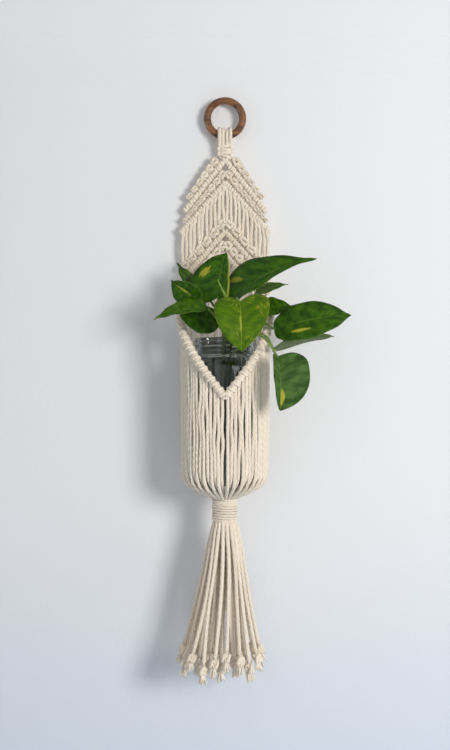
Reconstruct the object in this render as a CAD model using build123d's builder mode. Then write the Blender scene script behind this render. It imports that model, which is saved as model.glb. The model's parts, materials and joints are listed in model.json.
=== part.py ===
from build123d import *
import math
import os

# Hanging macrame planter, in millimetres, +Z up, front towards -Y.
# The origin is the hang point: the top of the wooden ring's hole.

# Clearances
seat_gap = 0.05  # pieces that lie against each other and stay there
fit_gap = 0.3  # pieces that move past each other

# Cotton cord
cord_d = 4.0
hitch_wrap = 1.8  # what a hitch adds round its core cord
hitch_groove = 0.7  # groove between the two turns of a hitch
knot_groove = 0.9  # groove between the two halves of a square knot

# Wooden ring
ring_outer_d = 50.0
ring_stock_d = 8.5

# Mounting cords, looped over the ring, and the knot under it
mount_cord_count = 4
mount_cord_spacing = 0.2
mount_drop = 11.0  # ring stock's centre to the knot's top
mount_foot_spacing = 0.2  # between a loop's two feet, on the knot
top_knot_width = 17.0
top_knot_depth = 10.0
top_knot_height = 14.85
top_knot_round = 2.0

# Knotted panel: chevrons of hitches with rows of square knots
chevron_angle = 48.5  # fall of a chevron's arms below level
cords_per_side = 11
cord_spacing = 0.8
first_angle = 52.0  # the first chevron is steeper and shorter than the others
first_cords_per_side = 10
edge_knot_ds = [8.8, 8.8, 8.8, 8.4, 7.2, 5.4]
edge_knot_start = 5.0  # first edge knot, along the chevron's arm
edge_half = 45.0  # last edge knot, from the panel's middle
upper_row_half = 49.5  # last knot between the first two chevrons, from the panel's middle
upper_knot_count = 10
row_knot_d = 10.0
row_knot_count = 8
net_knot_d = 9.4
net_knot_count = 6
free_cord_drop = 31.8  # bare cords between the second chevron and the net knots
knot_gap = 0.15

# Glass jar
jar_body_d = 92.0
jar_height = 165.0
jar_wall = 3.2
jar_floor = 5.0
jar_heel = 20.0
jar_mouth_d = 60.6
jar_finish_height = 22.0
jar_thread_d = 2.8
jar_thread_pitch = 6.0
jar_thread_count = 2
jar_collar_d = 3.6
jar_lip_round = 1.2
rim_drop = 41.0  # chevron ends to the jar's rim
water_depth = 108.0

# Pocket of cords round the jar
neckline_drop = 107.0  # chevron ends to the neckline's lowest point
neckline_rise = 99.0
neckline_sweep = 90.0  # angle from the front that the neckline climbs over
neckline_steps = 6
pocket_cords_per_side = 16
back_cords_per_side = 7
back_first_angle = 97.0
back_last_angle = 174.0
back_drop = 25.0  # chevron ends to where the back cords leave the panel's plane
back_meet = 45.0  # jar's rim to where the back cords meet the jar
base_slope = 28.0  # fall of the cords under the jar

# Gathering wrap under the pocket
bundle_d = 22.0
wrap_cord_d = 2.4
wrap_turns = 8
wrap_pitch = 2.9
gather_neck = 2.4  # cone between the pocket's cords and the wrap

# Tassel
tassel_swivel_wall = 1.7
tassel_swivel_reach = 16.0  # how far below level the head's ball goes on, in degrees
tassel_head_height = 9.5
tassel_cord_spacing = 0.3
tassel_lean = -4.0
end_knot_d = 8.2
end_knot_height = 9.5
tail_length = 13.0
tail_end_d = 7.6
# Rings of tassel cords: the node, how many cords, and the ring's radius at the knots
tassel_rings = [
    ("inner", 1, 4.0),
    ("inner", 7, 16.0),
    ("middle", 13, 29.0),
    ("outer", 19, 42.0),
]
# A tassel cord's route: share of its way outwards, and depth below the head
tassel_route = [(0.0, 0.0), (0.28, 40.0), (0.6, 90.0), (1.0, 136.0)]
# How much lower each knot hangs than the one before it, round a ring
tassel_stagger = [0.0, -7.0, 5.0, -3.0, 8.0]

# Pothos cuttings, placed from the centre of the jar's rim
stem_d = 4.4
stem_foot = 135.0  # depth of the stems' feet below the rim
petiole_d = 2.6
leaf_thickness = 0.9
stems = {
    "a": (-2.0, -10.0, 26.0),
    "b": (7.0, -19.0, 18.0),
    "c": (16.0, -6.0, 20.0),
    "d": (11.0, 9.0, 24.0),
    "e": (0.0, 8.0, 22.0),
}
# Each leaf: its stem, height of the joint and petiole's elbow; base and tip; facing, width and arch
leaves = {
    "leaf_front": (
        "b", 14, (10, -44, 46),
        (16.1, -60.5, 40.4), (18.1, -70.5, -16.7),
        (0.05, -0.98, 0.17), 55, 5,
    ),
    "leaf_right": (
        "c", 8, (40, -22, 20),
        (55.9, -36.5, 12.5), (137.3, -44.5, 23.1),
        (0.0, -0.85, 0.5), 42, 8,
    ),
    "leaf_right_low": (
        "b", 4, (36, -51, 9),
        (63.8, -60.0, -20.6), (65.5, -68.0, -78.8),
        (0.3, -0.93, 0.15), 37, 5,
    ),
    "leaf_right_edge": (
        "c", 3, (45, -32, 7),
        (52.6, -37.0, -12.6), (120.6, -26.0, 1.9),
        (-0.2, -0.22, 0.95), 28, 6,
    ),
    "leaf_top_right": (
        "d", 20, (10, -12, 42),
        (14.4, -28.5, 46.1), (99.2, -43.5, 86.4),
        (-0.3, -0.62, 0.72), 38, 7,
    ),
    "leaf_right_small": (
        "d", 14, (24, 4, 38),
        (34.9, -6.5, 51.1), (70.5, -12.5, 59.6),
        (-0.2, -0.3, 0.93), 22, 3,
    ),
    "leaf_right_behind": (
        "c", 16, (30, -8, 29),
        (41.5, -10.5, 31.7), (76.7, -20.5, 33.3),
        (0.0, -0.75, 0.66), 24, 3,
    ),
    "leaf_top": (
        "a", 22, (-8, -16, 37),
        (-10.0, -22.5, 44.3), (-3.4, -10.5, 95.6),
        (-0.3, -0.92, 0.25), 36, 5,
    ),
    "leaf_top_left": (
        "e", 18, (-14, 2, 40),
        (-24.8, -6.5, 49.9), (-54.4, 1.5, 85.7),
        (-0.45, -0.8, -0.2), 24, 4,
    ),
    "leaf_left": (
        "a", 14, (-16, -26, 30),
        (-27.5, -32.5, 39.2), (-58.0, -38.5, 61.7),
        (-0.3, -0.85, -0.4), 25, 3,
    ),
    "leaf_left_low": (
        "a", 7, (-11, -34, 24),
        (-22.8, -46.5, 30.6), (-76.7, -54.5, 18.2),
        (0.1, -0.5, 0.86), 30, 5,
    ),
    "leaf_left_under": (
        "e", 8, (-12, -10, 16),
        (-21.0, -24.5, 19.8), (-47.4, -30.5, 25.0),
        (0.0, -0.8, 0.6), 18, 2,
    ),
}

# Worked out from the sizes above
cord_r = cord_d / 2
ring_stock_r = ring_stock_d / 2
ring_mid_r = ring_outer_d / 2 - ring_stock_r
ring_hole_r = ring_mid_r - ring_stock_r
ring_centre_z = -ring_hole_r
swing_z = ring_centre_z - ring_mid_r

fall_cos = math.cos(math.radians(chevron_angle))
fall_sin = math.sin(math.radians(chevron_angle))
fall_tan = math.tan(math.radians(chevron_angle))
bar_r = cord_r + hitch_wrap
cord_pitch = cord_d + cord_spacing
panel_half = cords_per_side * cord_pitch
hitch_pitch = cord_pitch / fall_cos
arm_length = panel_half / fall_cos
first_cos = math.cos(math.radians(first_angle))
first_sin = math.sin(math.radians(first_angle))
first_pitch = cord_pitch / first_cos
row_r = row_knot_d / 2
net_r = net_knot_d / 2
row_across = bar_r + knot_gap + row_r
net_across = bar_r + knot_gap + net_r

top_knot_z = swing_z - mount_drop
pair_drop = 2 * row_across / fall_cos
group_drop = (2 * bar_r + knot_gap + net_knot_d) / fall_cos + free_cord_drop
chevron_1_z = top_knot_z - top_knot_height - seat_gap - (bar_r - hitch_groove) * first_cos
chevron_2_z = chevron_1_z - pair_drop
chevron_3_z = chevron_2_z - group_drop
chevron_4_z = chevron_3_z - pair_drop
panel_end_z = chevron_4_z - panel_half * fall_tan

jar_r = jar_body_d / 2
jar_mouth_r = jar_mouth_d / 2
jar_neck_r = jar_mouth_r + jar_wall
jar_axis_y = -(row_r + 2 * fit_gap + jar_r)
jar_rim_z = panel_end_z - rim_drop
jar_base_z = jar_rim_z - jar_height
jar_shoulder_z = jar_rim_z - jar_finish_height - (jar_r - jar_neck_r)
jar_axis = Axis((0, jar_axis_y, 0), (0, 0, 1))
jar_plane = Plane.XZ.offset(-jar_axis_y)
water_z = jar_base_z + water_depth

pocket_r = jar_r + fit_gap + cord_r
neckline_r = jar_r + fit_gap + bar_r
neckline_low_z = panel_end_z - neckline_drop
base_turn_r = jar_heel + fit_gap + cord_r
base_cos = math.cos(math.radians(base_slope))
base_sin = math.sin(math.radians(base_slope))
base_tan = math.tan(math.radians(base_slope))
layer_drop = (cord_d + fit_gap) / base_cos
heel_end_r = jar_r - jar_heel + base_turn_r * base_sin
heel_end_z = jar_base_z + jar_heel - base_turn_r * base_cos

neckline_corner_r = neckline_r / math.cos(math.radians(neckline_sweep / neckline_steps / 2))
neckline_slope = neckline_rise / (neckline_r * math.radians(neckline_sweep))
pocket_pitch_angle = hitch_pitch / math.hypot(1, neckline_slope) / neckline_r
gather_r = (cord_d + fit_gap) / (2 * math.sin(pocket_pitch_angle))
gather_entry_r = gather_r + seat_gap + cord_r * base_sin
gather_upper_z = heel_end_z - (heel_end_r - gather_entry_r) * base_tan
gather_top_z = gather_upper_z + cord_r / base_cos
gather_rim_z = gather_upper_z - layer_drop - cord_r / base_cos
bundle_r = bundle_d / 2
wrap_r = bundle_r + seat_gap + wrap_cord_d / 2
wrap_top_z = gather_rim_z - gather_neck
pivot_z = wrap_top_z - wrap_turns * wrap_pitch - wrap_cord_d - 2 * fit_gap
swivel_cup_r = bundle_r - tassel_swivel_wall
swivel_ball_r = swivel_cup_r - fit_gap
tassel_top_z = pivot_z - tassel_head_height
tassel_cord_pitch = cord_d + tassel_cord_spacing


def lobed_bead(radius, groove, length, bore_r=0.0):
    """A knot's body: two rounded turns along +Z, with or without a bore."""
    valley_r = radius - groove
    half = length / 2
    with BuildPart() as bead:
        with BuildSketch(Plane.XZ):
            with BuildLine():
                Polyline((valley_r, -half), (bore_r, -half), (bore_r, half), (valley_r, half))
                ThreePointArc((valley_r, half), (radius, half / 2), (valley_r, 0))
                ThreePointArc((valley_r, 0), (radius, -half / 2), (valley_r, -half))
            make_face()
        revolve(axis=Axis.Z)
    return bead.part


volume_errors = []


def tube(points, radius, bends=None):
    """A cord through the points: straight runs joined by tangent arcs."""
    route = [Vector(*p) for p in points]
    if bends is None:
        bends = [widest_bend(*route[i : i + 3]) for i in range(len(route) - 2)]
    with BuildPart() as cord:
        with BuildLine() as path:
            if len(route) > 2:
                FilletPolyline(*route, radius=bends)
            else:
                Line(*route)
        with BuildSketch(Plane(origin=route[0], z_dir=route[1] - route[0])):
            Circle(radius)
        sweep(path=path.wires()[0])
    expected = math.pi * radius**2 * path.wires()[0].length
    volume_errors.append(abs(cord.part.volume / expected - 1))
    return cord.part


def widest_bend(before, corner, after):
    """The largest bend that a corner's two runs leave room for."""
    run_in = corner - before
    run_out = after - corner
    half_turn = math.radians(run_in.get_angle(run_out)) / 2
    return 0.45 * min(run_in.length, run_out.length) / math.tan(half_turn)


def arm_place(side, apex_z, along, across=0.0, angle=chevron_angle):
    """A place on a chevron's arm, with +Z down the arm; across is upwards and outwards."""
    inwards = math.cos(math.radians(angle))
    down = math.sin(math.radians(angle))
    x = side * (along * inwards + across * down)
    z = apex_z - along * down + across * inwards
    upwards = (side * down, 0, inwards)
    return Plane((x, 0, z), x_dir=upwards, z_dir=(side * inwards, 0, -down)).location


def arm_z(apex_z, x, across=0.0):
    """Height of a line beside a chevron's arm, at the distance x from the middle."""
    return apex_z - abs(x) * fall_tan + across / fall_cos


def pocket_point(radius, angle, z):
    """A point round the jar's axis; angle 0 is the front, in radians, towards +X."""
    return Vector(radius * math.sin(angle), jar_axis_y - radius * math.cos(angle), z)


def save(piece, node):
    """Label a finished piece and write its file."""
    piece.part.label = node
    export_step(piece.part, f"parts/{node}.step")


def half_of_panel(side):
    """What stays on one side of the panel's middle plane."""
    keep = Keep.TOP if side > 0 else Keep.BOTTOM
    return {"bisect_by": Plane.YZ.offset(side * seat_gap), "keep": keep}


os.makedirs("parts", exist_ok=True)
sides = {"left": -1, "right": 1}

# Wooden ring
with BuildPart() as wood_ring:
    with Locations((0, 0, ring_centre_z)):
        Torus(ring_mid_r, ring_stock_r, rotation=(90, 0, 0))
save(wood_ring, "wood_ring")

# Mounting cords: each loop clears the ring's inside, which rises towards its sides
mount_pitch = cord_d + mount_cord_spacing
foot_y = cord_r + mount_foot_spacing / 2
foot_z = top_knot_z + 0.8 * cord_r
foot_reach = math.hypot(foot_y, swing_z - foot_z)
foot_angle = math.atan2(foot_z - swing_z, foot_y)
with BuildPart() as mounting_cords:
    for number in range(mount_cord_count):
        x = (number - (mount_cord_count - 1) / 2) * mount_pitch
        widest_x = abs(x) + cord_r
        loop_r = ring_mid_r - math.sqrt(ring_hole_r**2 - widest_x**2) + fit_gap + cord_r
        touch_angle = foot_angle + math.acos(loop_r / foot_reach)
        touch_y = loop_r * math.cos(touch_angle)
        touch_z = swing_z + loop_r * math.sin(touch_angle)
        with BuildLine() as loop:
            Line((x, foot_y, foot_z), (x, touch_y, touch_z))
            ThreePointArc((x, touch_y, touch_z), (x, 0, swing_z + loop_r), (x, -touch_y, touch_z))
            Line((x, -touch_y, touch_z), (x, -foot_y, foot_z))
        leg = Vector(0, touch_y - foot_y, touch_z - foot_z)
        with BuildSketch(Plane((x, foot_y, foot_z), z_dir=leg)):
            Circle(cord_r)
        sweep(path=loop.wires()[0])
save(mounting_cords, "mounting_cords")

# Square knot under the ring
half_knot = top_knot_height / 2
with BuildPart() as top_knot:
    for level in (top_knot_z - half_knot, top_knot_z - top_knot_height):
        with BuildSketch(Plane.XY.offset(level)):
            SlotOverall(top_knot_width, top_knot_depth)
        extrude(amount=half_knot)
    bands = top_knot.faces().filter_by(Axis.Z).sort_by(Axis.Z)
    fillet(bands[0].edges() + bands[-1].edges(), radius=top_knot_round)
save(top_knot, "top_knot")


def even_joints(first, last, count):
    """Where the knots of an even row meet, along a chevron's arm."""
    return [first + (last - first) * number / count for number in range(count + 1)]


def knot_row(name, apex_z, angle, way, radii, joints):
    """Save a row of knots on both sides, above (way 1) or below (way -1) a chevron's arms."""
    lengths = [end - begin - 2 * seat_gap for begin, end in zip(joints, joints[1:])]
    knots = [lobed_bead(radius, knot_groove, length) for radius, length in zip(radii, lengths)]
    for side_name, side in sides.items():
        with BuildPart() as row:
            for knot, radius, begin, end in zip(knots, radii, joints, joints[1:]):
                across = way * (bar_r + knot_gap + radius)
                with Locations(arm_place(side, apex_z, (begin + end) / 2, across, angle)):
                    add(knot)
            split(**half_of_panel(side))
        save(row, f"{name}_{side_name}")


# Edge knots, on the first chevron
edge_rs = [diameter / 2 for diameter in edge_knot_ds]
edge_last = (edge_half - (bar_r + knot_gap + edge_rs[-1]) * first_sin) / first_cos
edge_joints = even_joints(edge_knot_start, edge_last, len(edge_rs))
knot_row("edge_knots", chevron_1_z, first_angle, 1, edge_rs, edge_joints)

# Knots between the first two chevrons, smaller towards the ends, where the chevrons draw together
lean = math.radians(first_angle - chevron_angle)
upper_first = row_across * first_sin / first_cos
upper_last = (upper_row_half + (row_across - row_r / 2) * first_sin) / first_cos
first_room, last_room = [
    (2 * row_across - reach * math.sin(lean)) / (1 + math.cos(lean)) - bar_r - knot_gap
    for reach in (upper_first, upper_last)
]
knot_shrink = (last_room / first_room) ** (1 / upper_knot_count)
shares = [knot_shrink**number for number in range(upper_knot_count + 1)]
upper_run = (upper_last - upper_first) / (1 - shares[-1])
upper_joints = [upper_first + upper_run * (1 - share) for share in shares]
upper_rs = [first_room * share for share in shares[1:]]
knot_row("upper_row_knots", chevron_1_z, first_angle, -1, upper_rs, upper_joints)

# Knots above and below the third chevron
net_last = (panel_half - net_across * fall_sin) / fall_cos
net_joints = even_joints(-net_across * fall_tan, net_last, net_knot_count)
knot_row("net_knots", chevron_3_z, chevron_angle, 1, [net_r] * net_knot_count, net_joints)
row_last = (panel_half + row_across * fall_sin) / fall_cos
lower_joints = even_joints(row_across * fall_tan, row_last, row_knot_count)
knot_row("lower_row_knots", chevron_3_z, chevron_angle, -1, [row_r] * row_knot_count, lower_joints)

# Chevrons: core cords with a double half hitch for each cord of the panel
chevrons = {
    "chevron_1": (chevron_1_z, first_angle, first_cords_per_side, first_pitch),
    "chevron_2": (chevron_2_z, chevron_angle, cords_per_side, hitch_pitch),
    "chevron_3": (chevron_3_z, chevron_angle, cords_per_side, hitch_pitch),
    "chevron_4": (chevron_4_z, chevron_angle, cords_per_side, hitch_pitch),
}
upright = (Align.CENTER, Align.CENTER, Align.MIN)
for name, (apex_z, angle, count, pitch) in chevrons.items():
    hitch = lobed_bead(bar_r, hitch_groove, pitch - 2 * seat_gap, cord_r + seat_gap)
    for side_name, side in sides.items():
        with BuildPart() as core:
            with Locations(arm_place(side, apex_z, 0, 0, angle)):
                Cylinder(cord_r, count * pitch, align=upright)
            split(**half_of_panel(side))
        save(core, f"{name}_core_{side_name}")
        places = [arm_place(side, apex_z, (n + 0.5) * pitch, 0, angle) for n in range(count)]
        with BuildPart() as hitches:
            with Locations(*places):
                add(hitch)
            split(**half_of_panel(side))
        save(hitches, f"{name}_hitches_{side_name}")

# Bare cords of the panel, from the second chevron to the net knots
for side_name, side in sides.items():
    with BuildPart() as panel_cords:
        for number in range(cords_per_side):
            x = side * (number + 0.5) * cord_pitch
            top_z = arm_z(chevron_2_z, x)
            low_z = arm_z(chevron_3_z, x, net_across)
            with Locations((x, 0, low_z)):
                Cylinder(cord_r, top_z - low_z, align=upright)
        with Locations(arm_place(side, chevron_2_z, -arm_length)):
            Cylinder(bar_r + seat_gap, 3 * arm_length, align=upright, mode=Mode.SUBTRACT)
        with Locations(arm_place(side, chevron_3_z, -arm_length, net_across)):
            Cylinder(net_r + seat_gap, 3 * arm_length, align=upright, mode=Mode.SUBTRACT)
    save(panel_cords, f"panel_cords_{side_name}")


def pocket_cord(angle, tops, layer):
    """A cord of the pocket: down beside the jar, round its heel and in to the gather."""
    corner_z = heel_end_z + (pocket_r - heel_end_r) * base_tan - layer * layer_drop
    corner = pocket_point(pocket_r, angle, corner_z)
    entry = pocket_point(gather_entry_r, angle, gather_upper_z - layer * layer_drop)
    points = [*tops, corner, entry]
    bends = [widest_bend(*points[n : n + 3]) for n in range(len(points) - 3)]
    return tube(points, cord_r, [*bends, base_turn_r])


# Neckline: a hitched cord from each end of the panel down to the pocket's front
bent_hitch = lobed_bead(bar_r, hitch_groove, hitch_pitch - 2 * fit_gap, cord_r + fit_gap)
for side_name, side in sides.items():
    climb = [step / neckline_steps for step in range(neckline_steps + 1)]
    route = [
        pocket_point(
            neckline_corner_r,
            side * math.radians(neckline_sweep) * share,
            neckline_low_z + neckline_rise * share,
        )
        for share in climb
    ]
    route.append(Vector(side * (panel_half - cord_r), -(bar_r + 3 * fit_gap), panel_end_z))
    bends = [widest_bend(*route[n : n + 3]) for n in range(len(route) - 2)]
    with BuildLine() as neckline:
        FilletPolyline(*route, radius=bends)
    line = neckline.wires()[0]
    with BuildPart() as neckline_core:
        add(tube(route, cord_r))
        split(**half_of_panel(side))
    save(neckline_core, f"neckline_core_{side_name}")

    places = []
    for number in range(int(line.length / hitch_pitch)):
        reach = (number + 0.5) * hitch_pitch
        middle = line.position_at(reach, position_mode=PositionMode.LENGTH)
        heading = line.tangent_at(reach, position_mode=PositionMode.LENGTH)
        places.append(Plane(middle, z_dir=heading).location)
    with BuildPart() as neckline_hitches:
        with Locations(*places):
            add(bent_hitch)
        split(**half_of_panel(side))
    save(neckline_hitches, f"neckline_hitches_{side_name}")

    cords = []
    for number in range(pocket_cords_per_side):
        hold = places[number].position
        angle = math.atan2(hold.X, jar_axis_y - hold.Y)
        around = Vector(math.cos(angle), math.sin(angle), 0)
        upright_of_bar = (Vector(0, 0, 1) - around * side * neckline_slope).normalized()
        underside = Plane(hold - upright_of_bar * (bar_r + fit_gap), z_dir=upright_of_bar)
        cord = pocket_cord(angle, [pocket_point(pocket_r, angle, hold.Z)], (number + (side > 0)) % 2)
        cords.append(split(cord, bisect_by=underside, keep=Keep.BOTTOM))
    with BuildPart() as pocket_cords:
        add(cords)
    save(pocket_cords, f"pocket_cords_{side_name}")

# Cords behind the jar, from the fourth chevron
cords = []
for side in sides.values():
    for number in range(back_cords_per_side):
        share = number / (back_cords_per_side - 1)
        angle = side * math.radians(back_last_angle + (back_first_angle - back_last_angle) * share)
        x = side * (number + 0.5) * (panel_half - cord_r) / back_cords_per_side
        tops = [
            Vector(x, 0, arm_z(chevron_4_z, x)),
            Vector(x, 0, panel_end_z - back_drop),
            pocket_point(pocket_r, angle, jar_rim_z - back_meet),
        ]
        cords.append(pocket_cord(angle, tops, 0))
with BuildPart() as back_cords:
    add(cords)
    for side in sides.values():
        with Locations(arm_place(side, chevron_4_z, -cord_d)):
            Cylinder(bar_r + seat_gap, 2 * arm_length, align=upright, mode=Mode.SUBTRACT)
save(back_cords, "back_cords")

# Gathered bundle, with a round seat for the tassel's head
with BuildPart() as gathered_bundle:
    with BuildSketch(jar_plane):
        with BuildLine():
            Polyline(
                (0, pivot_z + swivel_cup_r),
                (0, gather_top_z),
                (gather_r, gather_top_z),
                (gather_r, gather_rim_z),
                (bundle_r, wrap_top_z),
                (bundle_r, pivot_z),
                (swivel_cup_r, pivot_z),
            )
            CenterArc((0, pivot_z), swivel_cup_r, 0, 90)
        make_face()
    revolve(axis=jar_axis)
save(gathered_bundle, "gathered_bundle")


def wrap_point(turns):
    """A point of the wrap's centre line, after so many turns from its top."""
    z = wrap_top_z - fit_gap - wrap_cord_d / 2 - wrap_pitch * turns
    return pocket_point(wrap_r, 2 * math.pi * turns, z)


def wrap_heading(turns):
    """The wrap's direction there."""
    turn = 2 * math.pi * turns
    around = 2 * math.pi * wrap_r
    return Vector(around * math.cos(turn), around * math.sin(turn), -wrap_pitch).normalized()


# Gathering wrap: one cord wound round the bundle, a biarc for each quarter turn
quarters = [number / 4 for number in range(4 * wrap_turns + 1)]
with BuildPart() as gathering_wrap:
    with BuildLine() as winding:
        Line(wrap_point(0) - wrap_heading(0) * wrap_cord_d, wrap_point(0))
        for begin, end in zip(quarters, quarters[1:]):
            chord = wrap_point(end) - wrap_point(begin)
            both = wrap_heading(begin) + wrap_heading(end)
            spread = 2 * (1 - wrap_heading(begin).dot(wrap_heading(end)))
            pull = chord.dot(both)
            reach = (math.sqrt(pull**2 + spread * chord.dot(chord)) - pull) / spread
            ahead = wrap_point(begin) + wrap_heading(begin) * reach
            behind = wrap_point(end) - wrap_heading(end) * reach
            joint = (ahead + behind) * 0.5
            TangentArc(wrap_point(begin), joint, tangent=wrap_heading(begin))
            TangentArc(joint, wrap_point(end), tangent=behind - ahead)
        Line(wrap_point(wrap_turns), wrap_point(wrap_turns) + wrap_heading(wrap_turns) * wrap_cord_d)
    coil = winding.wires()[0]
    with BuildSketch(Plane(coil @ 0, z_dir=coil % 0)):
        Circle(wrap_cord_d / 2)
    sweep(path=coil)
save(gathering_wrap, "gathering_wrap")

samples_per_turn = 24
samples = [wrap_point(number / samples_per_turn) for number in range(samples_per_turn * wrap_turns)]
gaps = [
    (samples[one] - samples[other]).length - wrap_cord_d
    for one in range(len(samples))
    for other in range(one + samples_per_turn // 2, len(samples))
]
print(f"least gap between the wrap's turns {min(gaps):.2f} mm")

# Tassel
outer_count = max(count for _, count, _ in tassel_rings)
tassel_head_r = tassel_cord_pitch / (2 * math.sin(math.pi / outer_count)) + cord_r
with BuildPart() as tassel_head:
    with BuildSketch(jar_plane):
        with BuildLine():
            ball = CenterArc((0, pivot_z), swivel_ball_r, -tassel_swivel_reach, 90 + tassel_swivel_reach)
            Polyline(
                ball @ 0,
                (tassel_head_r, tassel_top_z),
                (0, tassel_top_z),
                ball @ 1,
            )
        make_face()
    revolve(axis=jar_axis)
save(tassel_head, "tassel_head")

tassel_cords = {"inner": [], "middle": [], "outer": []}
tassel_bends = []
knot_places = []
tail_places = []
for ring, (ring_name, count, knot_ring_r) in enumerate(tassel_rings):
    head_ring_r = tassel_cord_pitch / (2 * math.sin(math.pi / count)) if count > 1 else 0
    for number in range(count):
        angle = 2 * math.pi * (number + ring / 2) / count
        low = tassel_stagger[(number + ring) % len(tassel_stagger)]
        route = []
        for share, depth in tassel_route:
            out = head_ring_r + share * (knot_ring_r - head_ring_r)
            z = tassel_top_z - fit_gap - depth - share * low
            route.append(pocket_point(out, angle, z) + Vector(share * tassel_lean, 0, 0))
        tassel_cords[ring_name].append(tube(route, cord_r))
        tassel_bends += [widest_bend(*route[n : n + 3]) for n in range(len(route) - 2)]
        heading = (route[-1] - route[-2]).normalized()
        knot_middle = route[-1] + heading * (seat_gap + end_knot_height / 2)
        tail_top = route[-1] + heading * (2 * seat_gap + end_knot_height)
        knot_places.append(Plane(knot_middle, z_dir=heading).location)
        tail_places.append(Plane(tail_top, z_dir=heading).location)

for ring_name, cords in tassel_cords.items():
    with BuildPart() as ring_cords:
        add(cords)
    save(ring_cords, f"tassel_cords_{ring_name}")
print(f"tightest bend of the tassel's cords {min(tassel_bends):.0f} mm")
print(f"cords' volume against section times length, at most {max(volume_errors):.2%} apart")

end_knot = lobed_bead(end_knot_d / 2, knot_groove, end_knot_height)
with BuildPart() as end_knots:
    with Locations(*knot_places):
        add(end_knot)
save(end_knots, "tassel_end_knots")

with BuildPart() as frayed_tails:
    with Locations(*tail_places):
        Cone(cord_r, tail_end_d / 2, tail_length, align=upright)
save(frayed_tails, "tassel_frayed_tails")


def jar_outline(body_r, floor_z, heel, neck_r, top_z):
    """Half of the jar's section, from its floor to its mouth."""
    shoulder = body_r - neck_r
    Line((0, floor_z), (body_r - heel, floor_z))
    CenterArc((body_r - heel, floor_z + heel), heel, -90, 90)
    Line((body_r, floor_z + heel), (body_r, jar_shoulder_z))
    CenterArc((neck_r, jar_shoulder_z), shoulder, 0, 90)
    Polyline((neck_r, jar_shoulder_z + shoulder), (neck_r, top_z), (0, top_z), (0, floor_z))


# Glass jar with a threaded finish
with BuildPart() as glass_jar:
    with BuildSketch(jar_plane):
        with BuildLine():
            jar_outline(jar_r, jar_base_z, jar_heel, jar_neck_r, jar_rim_z)
        make_face()
    revolve(axis=jar_axis)
    collar_z = jar_rim_z - jar_finish_height + jar_collar_d
    with Locations((0, jar_axis_y, collar_z)):
        Torus(jar_neck_r, jar_collar_d / 2)
    for turn in range(jar_thread_count):
        with Locations((0, jar_axis_y, collar_z + (turn + 1) * jar_thread_pitch)):
            Torus(jar_neck_r, jar_thread_d / 2)
    with BuildSketch(jar_plane):
        with BuildLine():
            jar_outline(
                jar_r - jar_wall,
                jar_base_z + jar_floor,
                jar_heel - jar_wall,
                jar_mouth_r,
                jar_rim_z,
            )
        make_face()
    revolve(axis=jar_axis, mode=Mode.SUBTRACT)
    lip = glass_jar.faces().sort_by(Axis.Z)[-1]
    fillet(lip.edges(), radius=jar_lip_round)
save(glass_jar, "glass_jar")

# Water, with room for each stem
with BuildPart() as water:
    with BuildSketch(jar_plane):
        with BuildLine():
            inner_r = jar_r - jar_wall - seat_gap
            floor_z = jar_base_z + jar_floor + seat_gap
            heel = jar_heel - jar_wall
            Line((0, floor_z), (inner_r - heel, floor_z))
            CenterArc((inner_r - heel, floor_z + heel), heel, -90, 90)
            Polyline((inner_r, floor_z + heel), (inner_r, water_z), (0, water_z), (0, floor_z))
        make_face()
    revolve(axis=jar_axis)
    for stem_x, stem_y, stem_top in stems.values():
        with Locations((stem_x, jar_axis_y + stem_y, jar_rim_z - stem_foot - fit_gap)):
            Cylinder(stem_d / 2 + fit_gap, stem_foot, align=upright, mode=Mode.SUBTRACT)
save(water, "water")

# Stems of the cuttings
with BuildPart() as vine_stems:
    for stem_x, stem_y, stem_top in stems.values():
        with Locations((stem_x, jar_axis_y + stem_y, jar_rim_z - stem_foot)):
            Cylinder(stem_d / 2, stem_foot + stem_top, align=upright)
save(vine_stems, "vine_stems")

# Leaves: an arched heart-shaped blade on its petiole
rim_centre = Vector(0, jar_axis_y, jar_rim_z)
for name, (stem, joint_height, elbow, base, tip, facing, width, arch) in leaves.items():
    base_point = rim_centre + Vector(*base)
    spine = Vector(*tip) - Vector(*base)
    length = spine.length
    blade_plane = Plane(base_point, x_dir=spine, z_dir=spine.cross(Vector(*facing).cross(spine)))
    side_plane = Plane(base_point, x_dir=spine, z_dir=-blade_plane.y_dir)
    arch_r = (length**2 / 4 + arch**2) / (2 * arch)
    behind = -0.12 * length
    behind_low = math.sqrt(arch_r**2 - (length / 2 - behind) ** 2) - arch_r + arch
    beyond = length - behind
    stem_x, stem_y, stem_top = stems[stem]
    with BuildPart() as leaf:
        with BuildSketch(side_plane):
            with BuildLine():
                ThreePointArc((behind, behind_low), (length / 2, arch), (beyond, behind_low))
                Line((beyond, behind_low), (beyond, behind_low - leaf_thickness))
                ThreePointArc(
                    (beyond, behind_low - leaf_thickness),
                    (length / 2, arch - leaf_thickness),
                    (behind, behind_low - leaf_thickness),
                )
                Line((behind, behind_low - leaf_thickness), (behind, behind_low))
            make_face()
        extrude(amount=width, both=True)
        with BuildSketch(blade_plane):
            with BuildLine():
                for edge in (1, -1):
                    widest = (0.3 * length, edge * width / 2)
                    lobe = (-0.08 * length, edge * 0.2 * width)
                    ThreePointArc((length, 0), (0.68 * length, edge * 0.32 * width), widest)
                    ThreePointArc(widest, (0.01 * length, edge * 0.41 * width), lobe)
                    Line(lobe, (0, 0))
            make_face()
        extrude(amount=length, both=True, mode=Mode.INTERSECT)
        joint = rim_centre + Vector(stem_x, stem_y, joint_height)
        elbow_point = rim_centre + Vector(*elbow)
        with BuildLine() as petiole:
            bend = widest_bend(joint, elbow_point, base_point)
            FilletPolyline(joint, elbow_point, base_point, radius=bend)
        with BuildSketch(Plane(joint, z_dir=elbow_point - joint)):
            Circle(petiole_d / 2)
        sweep(path=petiole.wires()[0])
    save(leaf, name)
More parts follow.
